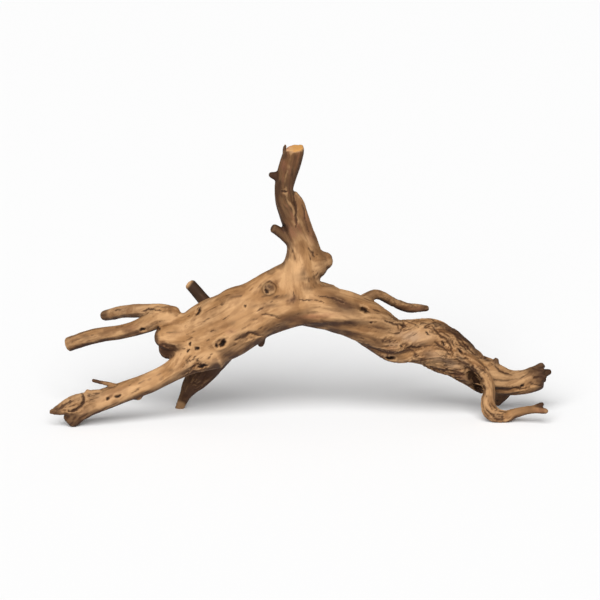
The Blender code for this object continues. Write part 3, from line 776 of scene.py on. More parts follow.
# Cracks and furrows: (half width, depth in squares, route as seen)
CRACKS = [
    (0.1, 0.14, [(8.4, 10.65), (9.2, 10.4), (9.9, 10.3), (10.6, 10.0)]),
    (0.08, 0.1, [(9.3, 10.85), (10.2, 10.7), (11.2, 10.35), (12.0, 9.9)]),
    (0.1, 0.12, [(10.4, 7.85), (11.0, 8.0), (11.6, 7.9), (12.1, 8.0)]),
    (0.1, 0.16, [(13.1, 10.15), (13.9, 9.15), (14.7, 8.7), (15.3, 7.3)]),
    (0.09, 0.14, [(13.35, 8.45), (14.3, 7.9), (14.95, 7.2)]),
    (0.08, 0.12, [(14.6, 8.9), (15.1, 8.5), (15.5, 8.0)]),
    (0.1, 0.18, [(15.0, 9.75), (15.7, 9.0), (16.6, 8.0), (17.3, 7.3)]),
    (0.09, 0.14, [(15.4, 9.2), (16.0, 8.3), (16.7, 7.55)]),
    (0.08, 0.1, [(13.6, 9.7), (14.2, 9.5), (14.9, 9.0)]),
    (0.08, 0.1, [(15.5, 7.0), (16.2, 6.8), (17.0, 6.9)]),
    (0.08, 0.1, [(19.2, 6.3), (20.1, 5.5), (21.2, 5.1)]),
    (0.08, 0.1, [(-3.9, 11.2), (-3.2, 11.3), (-2.4, 11.05), (-2.0, 10.8)]),
    (0.08, 0.08, [(-0.3, 12.75), (1.2, 12.7), (2.3, 12.5)]),
    (0.09, 0.03, [(1.9, 11.1), (3.2, 10.8), (4.5, 10.6), (5.6, 10.1)]),
    (0.1, 0.12, [(-6.6, 8.75), (-5.6, 9.1), (-4.9, 9.45), (-4.3, 9.2), (-3.7, 9.15)]),
    (0.13, 0.3, [(-21.8, 3.4), (-21.65, 2.7), (-21.85, 2.2), (-22.4, 1.75), (-23.2, 1.55)]),
    (0.1, 0.16, [(-15.9, 11.5), (-15.2, 11.75), (-14.6, 11.75), (-14.0, 11.6)]),
    (0.07, 0.1, [(-18.8, 11.6), (-18.4, 11.75), (-18.0, 11.65)]),
    (0.08, 0.12, [(-2.05, 23.35), (-1.75, 23.45), (-1.45, 23.4)]),
    (0.09, 0.1, [(0.6, 17.9), (1.1, 17.4), (1.5, 16.9)]),
    (0.11, 0.12, [(-0.7, 23.2), (-0.5, 22.0), (-0.4, 20.9), (-0.5, 19.8)]),
    (0.08, 0.08, [(0.15, 22.4), (0.35, 21.5), (0.55, 20.4)]),
    (0.08, 0.08, [(1.5, 13.2), (3.0, 12.9), (4.6, 12.4)]),
    (0.08, 0.12, [(21.3, 3.9), (22.2, 3.75), (23.0, 3.95)]),
    (0.08, 0.14, [(23.3, 5.9), (23.9, 5.6), (24.5, 5.5)]),
    (0.08, 0.14, [(23.2, 4.9), (23.9, 4.9), (24.6, 4.8)]),
    (0.07, 0.1, [(23.0, 4.3), (23.8, 4.2), (24.4, 4.1)]),
    (0.1, 0.12, [(-24.2, 1.85), (-23.4, 2.35), (-22.6, 2.6)]),
]
# Stains, some of them partly painted shade: (across, seen height, half length, half width, turn, strength)
STAINS_AND_SHADE = [
    # On the left limbs; the strong one under the collar is partly painted shade
    (-12.5, 9.6, 0.25, 0.2, 40, 0.5), (-13.0, 5.7, 0.3, 0.18, 20, 0.7), (-17.3, 9.6, 0.5, 0.22, 10, 0.6),
    (-21.7, 9.0, 0.4, 0.25, 10, 0.6), (-12.5, 7.9, 0.7, 0.35, -10, 0.9), (-21.7, 2.6, 0.3, 0.7, 10, 0.6),
    (-19.0, 3.3, 1.6, 0.8, 15, 0.25), (-19.7, 9.3, 1.2, 0.5, 8, 0.2), (-16.5, 4.6, 0.6, 0.14, 25, 0.4),
    (-20.6, 3.1, 0.6, 0.25, 15, 0.5),
    # On the trunk's left half and crown
    (-0.8, 12.75, 0.55, 0.25, 25, 0.9), (-2.9, 12.15, 0.8, 0.22, 3, 0.7), (-4.6, 12.1, 0.4, 0.22, 0, 0.7),
    (-6.7, 10.4, 0.4, 0.3, 10, 0.6), (-1.8, 13.0, 1.1, 0.28, 12, 0.6), (0.4, 10.6, 1.0, 0.3, 3, 0.8),
    (-8.5, 11.3, 1.5, 0.6, 20, 0.2), (-8.5, 9.65, 0.3, 0.15, 0, 0.6), (-6.85, 9.6, 0.3, 0.12, -30, 0.6),
    (-5.8, 8.7, 1.0, 0.35, 12, 0.7), (2.6, 10.6, 2.8, 0.35, 0, 0.4), (-7.2, 12.9, 1.2, 0.25, 25, 0.5),
    (-3.2, 13.95, 0.6, 0.42, 10, 1.0), (1.0, 13.9, 0.9, 0.2, 8, 0.4), (-1.2, 11.2, 1.3, 0.25, 12, 0.5),
    (-9.6, 10.4, 1.6, 0.9, 30, 0.2),
    # On the upright; the long streaks along its left and right edges are painted shade of its rims
    (0.6, 14.8, 1.3, 0.22, 5, 0.7), (0.2, 15.5, 0.5, 0.25, 70, 0.6), (1.8, 17.4, 1.0, 0.3, -55, 0.4),
    (-2.25, 24.0, 1.5, 0.24, 88, 0.9), (-2.3, 22.3, 1.3, 0.26, 95, 0.9),
    (-1.85, 20.7, 1.1, 0.26, 108, 0.8), (0.0, 26.2, 1.1, 0.22, 73, 0.8), (-0.55, 24.5, 0.8, 0.2, 80, 0.7),
    (-1.3, 17.0, 1.4, 0.22, 80, 0.5), (1.5, 18.8, 1.6, 0.22, -70, 0.6), (-1.6, 25.6, 0.3, 0.6, 10, 0.6),
    (0.5, 20.3, 1.0, 0.25, -75, 0.7), (-0.2, 15.2, 0.7, 0.25, 15, 0.6), (-1.9, 24.2, 0.5, 0.25, 75, 0.5),
    (-1.05, 21.7, 0.9, 0.5, 80, 0.45),
    # On the trunk's right half
    (4.1, 12.4, 1.4, 0.55, -30, 1.4), (5.9, 12.0, 0.8, 0.3, -25, 0.6), (5.0, 10.2, 0.6, 0.35, -30, 0.5),
    (4.4, 11.4, 2.2, 0.9, -25, 0.3), (8.0, 9.7, 1.8, 1.1, -35, 0.45), (12.0, 7.2, 1.2, 0.3, -10, 0.25),
    (9.0, 6.9, 0.9, 0.35, 0, 0.9), (11.5, 12.0, 0.6, 0.25, -10, 0.5), (9.0, 10.5, 1.0, 0.3, -12, 0.7),
    (14.9, 8.9, 0.9, 0.3, -50, 0.6), (13.9, 7.9, 0.8, 0.25, -45, 0.6), (5.0, 9.3, 1.6, 0.35, -28, 0.6),
    (11.2, 7.95, 0.8, 0.2, 0, 0.8), (12.7, 7.35, 0.45, 0.25, -20, 0.7), (10.9, 10.7, 1.4, 0.2, -8, 0.6),
    (7.6, 8.6, 1.2, 0.3, -35, 0.6),
    # On the right end; the strong one in the big hollow behind the curled root, and the long one on the
    # trunk's upper right edge, are partly painted shade
    (16.3, 5.0, 1.0, 0.3, -25, 0.5), (17.7, 4.5, 1.3, 0.55, -62, 1.2), (16.4, 9.2, 1.8, 0.35, -50, 0.9),
    (18.5, 6.9, 1.0, 0.25, -40, 0.5), (21.4, 4.3, 2.4, 0.5, 0, 0.3), (20.2, 5.2, 1.3, 0.7, -10, 0.3),
    (22.2, 5.0, 1.4, 0.6, 5, 0.25), (22.7, 1.65, 1.3, 0.5, 5, 0.55), (19.6, 3.0, 0.7, 0.15, -70, 0.4),
    (19.0, 1.1, 0.5, 0.2, -20, 0.4),
]
# Grey, dry wood that has no furrows, and pink young wood, in the same form as the stains
GREY_PATCHES = [
    (11.2, 9.0, 1.6, 0.75, -14, 1.0), (13.3, 7.1, 1.1, 0.55, -25, 0.8), (-8.0, 6.6, 1.0, 0.5, 20, 0.5),
    (15.0, 6.3, 1.0, 0.5, -30, 0.8), (13.0, 9.1, 0.7, 0.4, -20, 0.7), (9.3, 8.2, 0.8, 0.4, -20, 0.6),
    (-17.2, 11.7, 2.2, 0.6, 0, 0.5),
]
PINK_PATCHES = [
    (16.3, 5.0, 1.2, 0.3, -25, 1.0), (9.0, 7.6, 0.5, 0.4, 0, 0.6), (-1.6, 25.9, 0.35, 0.6, 10, 1.0),
    (0.5, 21.0, 0.6, 0.25, -75, 0.9), (-17.0, 9.8, 0.8, 0.4, 10, 0.5), (12.0, 11.8, 0.6, 0.3, 0, 1.0),
    (4.2, 12.35, 1.1, 0.35, -30, 0.5), (-0.8, 12.75, 0.5, 0.3, 25, 0.7), (0.9, 11.0, 2.4, 0.25, 5, 0.8),
    (-13.8, 7.8, 0.9, 0.6, -40, 1.0), (0.9, 19.5, 1.2, 0.3, -72, 0.7), (10.6, 11.9, 0.8, 0.3, -8, 0.7),
    (-6.9, 9.6, 0.6, 0.3, 0, 0.5), (24.0, 1.6, 0.8, 0.3, 0, 0.7), (-21.6, 1.4, 0.5, 0.9, 20, 0.4),
    (-18.7, 3.2, 1.3, 0.6, 15, 0.35),
]
# Wood of the upright that has lost its bark, and bark-rough wood on the left, in the same form
BARE_PATCHES = [(0.5, 20.1, 2.8, 0.5, -75, 1.1)]
COARSE_PATCHES = [(-10.2, 5.0, 2.2, 1.3, 125, 1.2), (-12.0, 2.6, 1.4, 0.7, 100, 0.9)]
# Round grooves about knots: (across, seen height, radius, half width, depth in squares)
KNOT_RINGS = [(-3.1, 14.05, 0.44, 0.13, 0.05), (-3.0, 14.1, 0.18, 0.08, 0.02)]

# %% [markdown]
# ## Dark tips and forks
#
# Where water stood longest, at broken tips and in forks, the wood has turned dark on all sides. Under the
# collar and along the trunk's upper right edge the dark balls are partly staining and partly painted shade,
# and along the upright's lower left edge they are painted shade. They are balls in space rather than ovals
# on one side. So are the pale spots: where an end broke off late, and on the front of the trunk, the collar,
# the upright's base and the lower left limb.

# %% Blotches and painted shade all round
# (across, seen height, back, radius in squares, strength)
BLOTCHES_AND_SHADE = [
    (25.3, 4.9, 0.6, 2.3, 1.0), (-23.5, 0.5, -3.8, 1.7, 0.85), (-24.9, 1.5, -4.4, 1.3, 0.6),
    (-20.1, 11.2, 5.5, 1.7, 0.8), (-20.7, 4.65, -3.55, 1.0, 0.8), (-2.9, 25.1, -2.9, 1.1, 1.0),
    (-4.0, 8.0, -1.3, 1.3, 1.0), (9.0, 6.7, -1.0, 1.3, 0.6), (-1.55, 20.0, -2.4, 0.75, 1.0),
    (24.6, 1.6, -3.5, 0.9, 0.4), (24.2, 2.3, -2.9, 0.85, 1.0), (20.0, 2.5, 1.2, 1.9, 0.65),
    (12.8, 11.85, 3.6, 1.2, 0.6), (-9.6, 5.4, -0.6, 1.6, 0.8), (-14.1, 8.2, -2.1, 0.9, 0.78),
    (-13.5, 7.5, -2.0, 1.0, 0.9), (-14.35, 8.9, -2.1, 0.75, 0.9), (-14.35, 9.6, -1.9, 0.6, 0.9),
    (-12.8, 7.25, -1.8, 0.9, 0.85), (-9.4, 12.4, 0.9, 1.2, 0.8), (19.7, 6.7, -0.8, 0.6, 0.9),
    (-2.9, 20.0, -2.4, 0.75, 0.6), (7.0, 12.9, 0.2, 1.0, 0.5), (-1.6, 27.9, -3.6, 0.7, 0.8),
    (14.2, 10.5, -0.7, 1.0, 0.8), (15.0, 9.95, -0.65, 1.2, 0.95), (15.8, 9.25, -0.6, 1.3, 0.95),
    (16.5, 8.4, -0.5, 1.3, 0.95), (17.1, 7.65, -0.4, 1.1, 0.9), (16.2, 4.8, -1.2, 1.3, 0.55),
    (-22.2, 0.9, -2.9, 1.2, 0.6), (3.0, 15.3, -0.6, 0.9, 0.4), (-22.6, 0.9, -4.0, 1.2, 0.7),
    (23.4, 6.4, 0.3, 1.4, 0.6), (-1.5, 18.2, -2.0, 0.8, 0.6), (-1.5, 17.2, -2.0, 0.8, 0.65),
    (-2.0, 16.3, -1.9, 0.8, 0.65), (-2.9, 15.6, -1.8, 0.7, 0.5),
]
# Ends that stayed pale, and pale spots on the front of the trunk, the collar, the upright's base and the
# lower left limb, in the same form
PALE_ENDS = [
    (-11.5, 14.5, 3.0, 0.85, 1.0), (-12.2, 1.9, 1.9, 0.75, 0.45), (-24.2, 8.1, 1.7, 0.75, 0.8),
    (-1.3, 15.4, -3.4, 1.9, 0.6), (-6.0, 11.7, -4.2, 2.2, 0.35), (-12.9, 9.5, -3.0, 1.3, 0.2),
    (-15.0, 4.8, -3.5, 1.5, 0.45), (12.6, 9.2, -2.8, 1.2, 0.3), (13.45, 6.3, -2.4, 1.1, 0.45),
]
# The radius of a ball's core over the ball's own
BALL_CORE = 0.55


def balls(points, spots):
    """The strongest of the balls: its strength in its core, fading to 0 at its radius."""
    total = np.zeros(len(points))
    for across, seen, back, radius, strength in spots:
        away = np.linalg.norm(points - place(across, seen, back), axis=1) / (radius * SQUARE)
        total = np.maximum(total, strength * rise(away, 1.0, BALL_CORE))
    return total


# %% [markdown]
# ## Worm holes on the other sides
#
# The back, the top and the underside aren't seen in the picture, but the worms don't know that. One random
# point in some of the cells of a coarse grid is the middle of a hole. The nearest of them decides.

# %% Scattered holes
HOLE_SPACING, HOLE_SHARE = 0.017, 0.35
HOLE_RADIUS, HOLE_FLOOR = 0.0017, 0.4


def scattered_holes(points, seed=5):
    """1 on the floor of each hole and 0 at its rim, from the distance to the nearest random middle."""
    draw = np.random.default_rng(seed)
    middles = draw.random((GRID, GRID, GRID, 3))
    present = draw.random((GRID, GRID, GRID)) < HOLE_SHARE
    cell = np.floor(points / HOLE_SPACING).astype(int)
    gap = np.full(len(points), np.inf)
    for shift in itertools.product((-1, 0, 1), repeat=3):
        x, y, z = ((cell + shift) % GRID).T
        middle = (cell + shift + middles[x, y, z]) * HOLE_SPACING
        distance = np.linalg.norm(points - middle, axis=1)
        gap = np.where(present[x, y, z], np.minimum(gap, distance), gap)
    return rise(gap, HOLE_RADIUS, HOLE_FLOOR * HOLE_RADIUS)


# %% [markdown]
# ## Dried plates
#
# Where the wood dried hard on the right half, its skin has cracked into small plates. Each random middle owns
# the places that are nearest to it. Where the nearest two are equally far runs a crack, and each plate gets a
# shade of its own. The places are those on the fibres, so the plates are longer along them.

# %% Plates
def plates(where, seed):
    """How much further the second nearest middle is than the nearest, and the nearest one's shade."""
    draw = np.random.default_rng(seed)
    middles, shades = draw.random((GRID, GRID, GRID, 3)), draw.random((GRID, GRID, GRID))
    cell = np.floor(where).astype(int)
    first, second = np.full((2, len(where)), np.inf)
    shade = np.zeros(len(where))
    for shift in itertools.product((-1, 0, 1), repeat=3):
        x, y, z = ((cell + shift) % GRID).T
        distance = np.linalg.norm(where - cell - shift - middles[x, y, z], axis=1)
        shade = np.where(distance < first, shades[x, y, z], shade)
        second = np.minimum(second, np.maximum(first, distance))
        first = np.minimum(first, distance)
    return second - first, shade


# %% [markdown]
# ## One reading of the whole skin
#
# The relief and the paint have to agree: a furrow is both lower and darker. So both come from one reading
# of the skin, which says for every point how rough, furrowed, streaked, stained or holed the wood is. A
# pair that is called a turn holds the two values between which a mark goes from none to full.

# %% How large and how strong the marks are
# Streaks along the fibres: (length along them, width across them, seed, layers of noise)
GRAIN, RIBS = (0.012, 0.0021, 41, 3), (0.020, 0.0050, 45, 2)
FOLDS, COVER = (0.022, 0.0040, 51, 2), (0.014, 0.0080, 61, 2)
DASHES, PATCHES, MOTTLE = (0.0085, 0.0028, 71, 2), (0.011, 0.0062, 95, 3), (0.028, 0.008, 91, 3)
DASH_TURN, PATCH_TURN, DASH_ON_BARK = (0.66, 0.82), (0.53, 0.68), 0.4
# A furrow runs where the folds are halfway, and a seam where two plates meet.
FURROW_WIDTH, FURROW_TURN = 0.042, (0.48, 0.66)
SEAM_WIDTH, SEAM_TURN, SEAM_COVER_TURN, SEAM_LEAST = (0.02, 0.13), (0.2, 0.7), (0.35, 0.6), 0.3
PLATE_SIZE = np.array([0.0150, 0.0070, 0.0070])
PLATE_BEND, PLATE_BEND_SIZE = 0.004, 0.0035
# Where the wood turns rough, where it calms down, and the rough left foot, in squares across
ROUGH_TURN, CALM_TURN, FOOT_TURN = (5.0, 11.0), (18.5, 21.5), (-19.5, -21.5)
CALM_SHARE, FOOT_ROUGHNESS, GREY_CALM = 0.7, 0.35, 0.8
PATCHY_SIZE, PATCHY_TURN, PATCHY_LEAST, PATCHY_GAIN = 0.016, (0.3, 0.62), 0.2, 0.9
# The height at which the upright's bark begins, in metres, and how much its edge wanders
BARK_TURN, BARK_EDGE, BARK_EDGE_SIZE, BARE_SHARE = (0.140, 0.165), 0.02, 0.012, 0.75
# The wandering edge of the dark balls, and the soft swellings, in metres
EDGE_SIZE, EDGE_WANDER, SWELL_SIZE = 0.0022, 0.0016, 0.02
# How far back the skin has to face for scattered holes, and how sharp the edges of the placed marks are
AWAY_TURN = (-0.3, 0.1)
HOLE_STEEPNESS, PATCH_STEEPNESS, PINK_STEEPNESS, STAIN_STEEPNESS = 2.0, 1.5, 1.2, 1.0


# %% Read the skin
class Skin:
    """What the weather has done to each point of the skin."""

    def __init__(self, points, normals):
        self.fibres = Fibres(points)
        front = from_front(points, normals)
        self.place_marks(points, normals, front)
        self.rough = self.roughness(points, front)
        self.weather(points)
        self.swell = layered_noise(points / SWELL_SIZE, 81)

    def place_marks(self, points, normals, front):
        """Everything that is listed, and scattered holes where the eye can't see from the front."""

        def patches(marks, steepness):
            return np.clip(front.ovals(marks, steepness), 0, 1)

        edge = layered_noise(points / EDGE_SIZE, 35) - 0.5
        bark_edge = BARK_EDGE * (layered_noise(points / BARK_EDGE_SIZE, 36) - 0.5)
        self.bark = rise(points[:, 2] + bark_edge, *BARK_TURN)
        self.bark *= 1 - BARE_SHARE * patches(BARE_PATCHES, PATCH_STEEPNESS)
        self.holes = patches([mark[:5] + (1.0,) for mark in WORM_HOLES], HOLE_STEEPNESS)
        self.hole_depth = front.ovals(WORM_HOLES, HOLE_STEEPNESS)
        self.scattered = scattered_holes(points) * (1 - front.facing) * rise(normals[:, 1], *AWAY_TURN)
        self.cracks = front.lines(CRACKS)
        self.rings = front.rings(KNOT_RINGS)
        self.stains_and_shade = patches(STAINS_AND_SHADE, STAIN_STEEPNESS)
        self.grey = patches(GREY_PATCHES, PATCH_STEEPNESS)
        self.pink = patches(PINK_PATCHES, PINK_STEEPNESS)
        self.blotch_and_shade = balls(points + EDGE_WANDER * edge[:, None], BLOTCHES_AND_SHADE)
        self.pale = balls(points, PALE_ENDS)

    def roughness(self, points, front):
        """Patchy on the right half, calmer at its end, rough at the left foot and on coarse patches."""
        right = rise(front.across, *ROUGH_TURN) * (1 - CALM_SHARE * rise(front.across, *CALM_TURN))
        patchy = PATCHY_LEAST + PATCHY_GAIN * rise(layered_noise(points / PATCHY_SIZE, 31), *PATCHY_TURN)
        foot = FOOT_ROUGHNESS * rise(front.across, *FOOT_TURN)
        coarse = np.clip(front.ovals(COARSE_PATCHES, PATCH_STEEPNESS), 0, 1)
        return np.maximum(np.maximum(right * patchy, foot), coarse) * (1 - GREY_CALM * self.grey)

    def weather(self, points):
        """Marks that follow the fibres: grain, ribs, brown patches, short dashes and dried plates."""
        streaks = self.fibres.streaks
        self.grain, self.ribs, self.mottle = streaks(*GRAIN), streaks(*RIBS), streaks(*MOTTLE)
        fold, cover = streaks(*FOLDS), streaks(*COVER)
        self.furrows = (1 - rise(abs(fold - 0.5), 0.0, FURROW_WIDTH)) * rise(cover, *FURROW_TURN) * self.rough
        self.dashes = rise(streaks(*DASHES), *DASH_TURN) * (1 - (1 - DASH_ON_BARK) * self.bark)
        self.patches = rise(streaks(*PATCHES), *PATCH_TURN)
        bend = [layered_noise(points / PLATE_BEND_SIZE, seed) - 0.5 for seed in (55, 56, 57)]
        spot = (self.fibres.own_places() + PLATE_BEND * np.stack(bend, axis=1)) / PLATE_SIZE
        gap, self.shade = plates(spot, 58)
        self.seams = (1 - rise(gap, *SEAM_WIDTH)) * rise(self.rough * self.fibres.clearness(), *SEAM_TURN)
        self.seams *= SEAM_LEAST + (1 - SEAM_LEAST) * rise(cover, *SEAM_COVER_TURN)


# %% [markdown]
# ## Relief
#
# The skin moves in and out along its own direction. The largest moves are the holes and the furrows, about
# a millimetre or two; the grain is a few tenths. Thin twigs get less of it. Smoothing has shrunk the limbs
# a little, the thin ones most, and the same sum gives that back.

# %% Carve the relief
SWELL_HEIGHT = 0.0008
GRAIN_HEIGHT, ROUGH_GRAIN_HEIGHT = 0.0004, 0.0013
RIB_HEIGHT, ROUGH_RIB_HEIGHT = 0.0004, 0.0018
FURROW_DEPTH, SEAM_DEPTH, DASH_DEPTH, SCATTERED_DEPTH = 0.0010, 0.0006, 0.0003, 0.0022
PLATE_LIFT = 0.0007
THICK_TURN, THIN_SHARE = (0.002, 0.008), 0.35
SMOOTHING_LOSS, THIN_LOSS = 0.0002, 0.0004


def carve(mesh):
    """Move each point along its normal by the sum of the reliefs, and press the placed marks straight in."""
    points, normals = read_points(mesh), read_normals(mesh)
    skin = Skin(points, normals)
    thick = rise(skin.fibres.own_half(), *THICK_TURN)
    height = (GRAIN_HEIGHT + ROUGH_GRAIN_HEIGHT * skin.rough) * (skin.grain - 0.5)
    height += (RIB_HEIGHT + ROUGH_RIB_HEIGHT * skin.rough) * (skin.ribs - 0.5)
    height += PLATE_LIFT * (skin.shade - 0.5) * skin.rough - SEAM_DEPTH * skin.seams
    height -= FURROW_DEPTH * skin.furrows + DASH_DEPTH * skin.dashes + SCATTERED_DEPTH * skin.scattered
    height = height * (THIN_SHARE + (1 - THIN_SHARE) * thick) + SWELL_HEIGHT * (skin.swell - 0.5)
    height += SMOOTHING_LOSS + (THIN_LOSS - SMOOTHING_LOSS) * (1 - thick)
    points += height[:, None] * normals
    pushed = (skin.hole_depth + skin.cracks + skin.rings) * SQUARE
    points -= pushed[:, None] * TOWARDS_EYE
    write_points(mesh, points)
    print("Relief from", round(height.min() * 1000, 2), "to", round(height.max() * 1000, 2), "mm")


carve(wood.data)


# %% [markdown]
# ## Standing on the floor
#
# The weight of the piece has worn its three feet flat. The whole skin moves down by that much, and whatever
# would be below the floor is pressed flat onto it.

# %% Set it down
def set_down(mesh):
    """Lower the mesh by FOOT_DEPTH, and lift every point that is then below the floor onto it."""
    points = read_points(mesh)
    points[:, 2] = np.maximum(points[:, 2] - FOOT_DEPTH, 0)
    write_points(mesh, points)


set_down(wood.data)


# %% [markdown]
# ## Hollows and ridges
#
# Hollows are painted darker, for the dirt that stays in them and as painted shade, and sand rubs ridges
# pale. How far the skin lies below its own smoothed self tells the two apart.

# %% Measure the hollowness
HOLLOW_REACH = 5
WIDE_REACH = 40
HOLLOW_DEPTH = 0.00022


def hollowness(mesh):
    """From -1 on ridges to 1 in hollows: how far the skin lies below its smoothed self.

    A thin limb is all ridge, so the same reading, averaged over a wide stretch, is taken off.
    """
    points, normals, beside = read_points(mesh), read_normals(mesh), Neighbours(mesh)
    smooth = points
    for _ in range(HOLLOW_REACH):
        smooth = beside.mean_rows(smooth)
    depth = ((smooth - points) * normals).sum(axis=1)
    usual = depth
    for _ in range(WIDE_REACH):
        usual = beside.mean(usual)
    return np.clip((depth - usual) / HOLLOW_DEPTH, -1, 1)


# %% [markdown]
# ## What the material needs to know
#
# The material reads numbers that are stored on the mesh, one for each point. They are the same readings as
# the relief's, with a few more: the hollowness, the limb's tone, how far the skin faces down, for painted
# shade on the undersides, the sawn face at the very top, and the fibre places, on which the finest grain is
# drawn.

# %% Store the readings
CUT_SLOPE, CUT_SOFT, CUT_TURN = 0.0046, 0.0008, (0.55, 0.8)
# Skin that faces down is painted darker as painted shade on the undersides. This is where it starts and where
# it is full.
UNDERSIDE_SHADE_TURN = (0.0, -0.75)
CRACK_PAINT = 7


def store(mesh, name, values):
    """Put one number, or one vector, on each point of the mesh."""
    kind, slot = ("FLOAT", "value") if values.ndim == 1 else ("FLOAT_VECTOR", "vector")
    mesh.attributes.new(name, kind, "POINT").data.foreach_set(slot, values.astype(np.float32).ravel())


def sawn_face(points, normals):
    """1 on skin that faces up and lies less than CUT_SLOPE below the highest point."""
    top = points[:, 2].max() - CUT_SLOPE
    return rise(points[:, 2], top - CUT_SOFT, top) * rise(normals[:, 2], *CUT_TURN)


def store_readings(mesh):
    """Read the finished skin once more and store what the material uses."""
    points, normals = read_points(mesh) + [0, 0, FOOT_DEPTH], read_normals(mesh)
    skin = Skin(points, normals)
    lines = np.clip(skin.cracks * CRACK_PAINT + skin.rings * CRACK_PAINT, 0, 1)
    readings = {
        "rough": skin.rough, "bark": skin.bark, "streak": skin.grain, "seam": skin.seams,
        "shade": skin.shade, "furrow": np.maximum(skin.furrows, lines), "dash": skin.dashes,
        "patch": skin.patches, "stain_and_shade": skin.stains_and_shade, "mottle": skin.mottle, "grey": skin.grey,
        "pink": skin.pink, "hole": np.clip(skin.holes + skin.scattered, 0, 1), "blotch_and_shade": skin.blotch_and_shade,
        "pale": skin.pale, "tone": skin.fibres.tone(), "clear": skin.fibres.clearness(),
        "hollow": hollowness(mesh), "fibre": skin.fibres.own_places(), "cut": sawn_face(points, normals),
        "under": rise(normals[:, 2], *UNDERSIDE_SHADE_TURN),
    }
    for name, values in readings.items():
        store(mesh, name, values)
    print("Stored", ", ".join(readings))


store_readings(wood.data)
wood.data.shade_smooth()

# %% [markdown]
# ## Writing a material as sums
#
# A material is a network of nodes. Here a small class stands for one output of a node, and adding or
# multiplying such values adds the Math node for it, so the recipe reads like a formula. Colours go through
# Mix nodes instead, because a Math node would turn them grey.

# %% Shader arithmetic
class Reading:
    """A value that varies over the wood. Arithmetic on it adds Math nodes."""

    def __init__(self, recipe, socket):
        self.recipe, self.socket = recipe, socket

    def math(self, operation, *values):
        settings = {"operation": operation}
        return self.recipe.node("ShaderNodeMath", settings, dict(enumerate(values)))

    def __add__(self, other):
        return self.math("ADD", self, other)

    def __mul__(self, other):
        return self.math("MULTIPLY", self, other)

    __radd__ = __add__
    __rmul__ = __mul__

    def step(self, low, high, least=0.0, most=1.0):
        """From least at low to most at high, with a soft step between."""
        settings = {"interpolation_type": "SMOOTHSTEP"}
        sockets = {"Value": self, "From Min": low, "From Max": high, "To Min": least, "To Max": most}
        return self.recipe.node("ShaderNodeMapRange", settings, sockets)


class Recipe:
    """A material whose nodes are added one by one."""

    def __init__(self, name):
        self.material = bpy.data.materials.new(name)
        self.material.use_nodes = True
        self.tree = self.material.node_tree
        self.surface = self.tree.nodes["Principled BSDF"]

    def node(self, kind, settings, sockets, output=0):
        """Add a node with its settings, fill its sockets with values or readings, and give one output."""
        made = self.tree.nodes.new(kind)
        for name, value in settings.items():
            setattr(made, name, value)
        for name, value in sockets.items():
            self.fill(made.inputs[name], value)
        return Reading(self, made.outputs[output])

    def fill(self, socket, value):
        if isinstance(value, Reading):
            self.tree.links.new(value.socket, socket)
        else:
            socket.default_value = value

    def stored(self, name):
        """A number that is stored on the mesh."""
        return self.node("ShaderNodeAttribute", {"attribute_name": name}, {}, "Fac")

    def stored_vector(self, name):
        return self.node("ShaderNodeAttribute", {"attribute_name": name}, {}, "Vector")

    def mix(self, amount, one, other):
        """The colour one, turning into the other as the amount goes from 0 to 1."""
        return self.node("ShaderNodeMix", {"data_type": "RGBA"}, {0: amount, 6: one, 7: other}, 2)

    def noise(self, where, scale, detail):
        sockets = {"Vector": where, "Scale": scale, "Detail": detail}
        return self.node("ShaderNodeTexNoise", {"noise_dimensions": "3D"}, sockets)

    def stretched(self, where, factors):
        return self.node("ShaderNodeVectorMath", {"operation": "MULTIPLY"}, {0: where, 1: factors})

    def coated(self, colour, coats):
        """The colour under its coats. A coat is (how much of it there is, its colour)."""
        for amount, tint in coats:
            colour = self.mix(amount, colour, tint)
        return colour


def paint(red, green, blue):
    """A colour as a screen shows it, 0 to 255, as the shader's linear values."""
    parts = [part / 255 for part in (red, green, blue)]
    return [part / 12.92 if part < 0.04 else ((part + 0.055) / 1.055) ** 2.4 for part in parts] + [1.0]


# %% [markdown]
# ## The wood
#
# Driftwood has no one colour. The worn left half is a warm tan with brown dashes. The right half is rougher
# and greyer, with dark furrows. The upright still has a brown skin. On top of that lie stains, pale ridges
# where sand rubbed, and near-black holes, whose black is painted shade. Hollows are painted darker for their
# dirt and as painted shade, and skin that faces down gets painted shade. So the recipe is a list of coats,
# each over the last, and a stored reading says how much of each coat there is. Brown weathering shows less
# on smooth wood than on rough. The sawn face at the top is fresh: pale, pink in places, and orange on its
# right.

# %% The colours and the grain
TAN, PALE_TAN = paint(147, 108, 69), paint(182, 142, 100)
BROWN, DEEP_BROWN, NEAR_BLACK = paint(108, 73, 43), paint(56, 35, 22), paint(26, 15, 11)
GREY_TAN, DRY_GREY, BARK = paint(130, 102, 74), paint(155, 126, 99), paint(60, 43, 29)
RED_BARK, PINK, PAINTED_UNDERSIDE_SHADE = paint(74, 38, 25), paint(130, 84, 62), paint(54, 34, 26)
SAWN, SAWN_ORANGE, SAWN_PINK = paint(200, 160, 112), paint(192, 140, 78), paint(190, 140, 108)
# How fine the noises are, in waves a metre: along the fibres and twice across them, and the same all round
FINE_GRAIN, MEDIUM_GRAIN = (80.0, 1100.0, 1100.0), (60.0, 420.0, 420.0)
SPECKS, CLOUDS, SAWN_CLOUDS, SAWN_WAVES = 900.0, 110.0, 260.0, 190.0
SAWN_WANDER, SAWN_TURN = 0.012, (-0.003, 0.003)
# The brown weathering that smooth wood shows, over what rough wood shows
SMOOTH_WEAR = 0.58
SPECULAR = 0.15
LEAST_ROUGHNESS, ROUGH_GAIN, SPECK_GAIN = 0.66, 0.18, 0.1
GRAIN_BUMP, SPECK_BUMP = 0.6, 0.4
BUMP_STRENGTH, BUMP_DISTANCE = 0.6, 0.0005


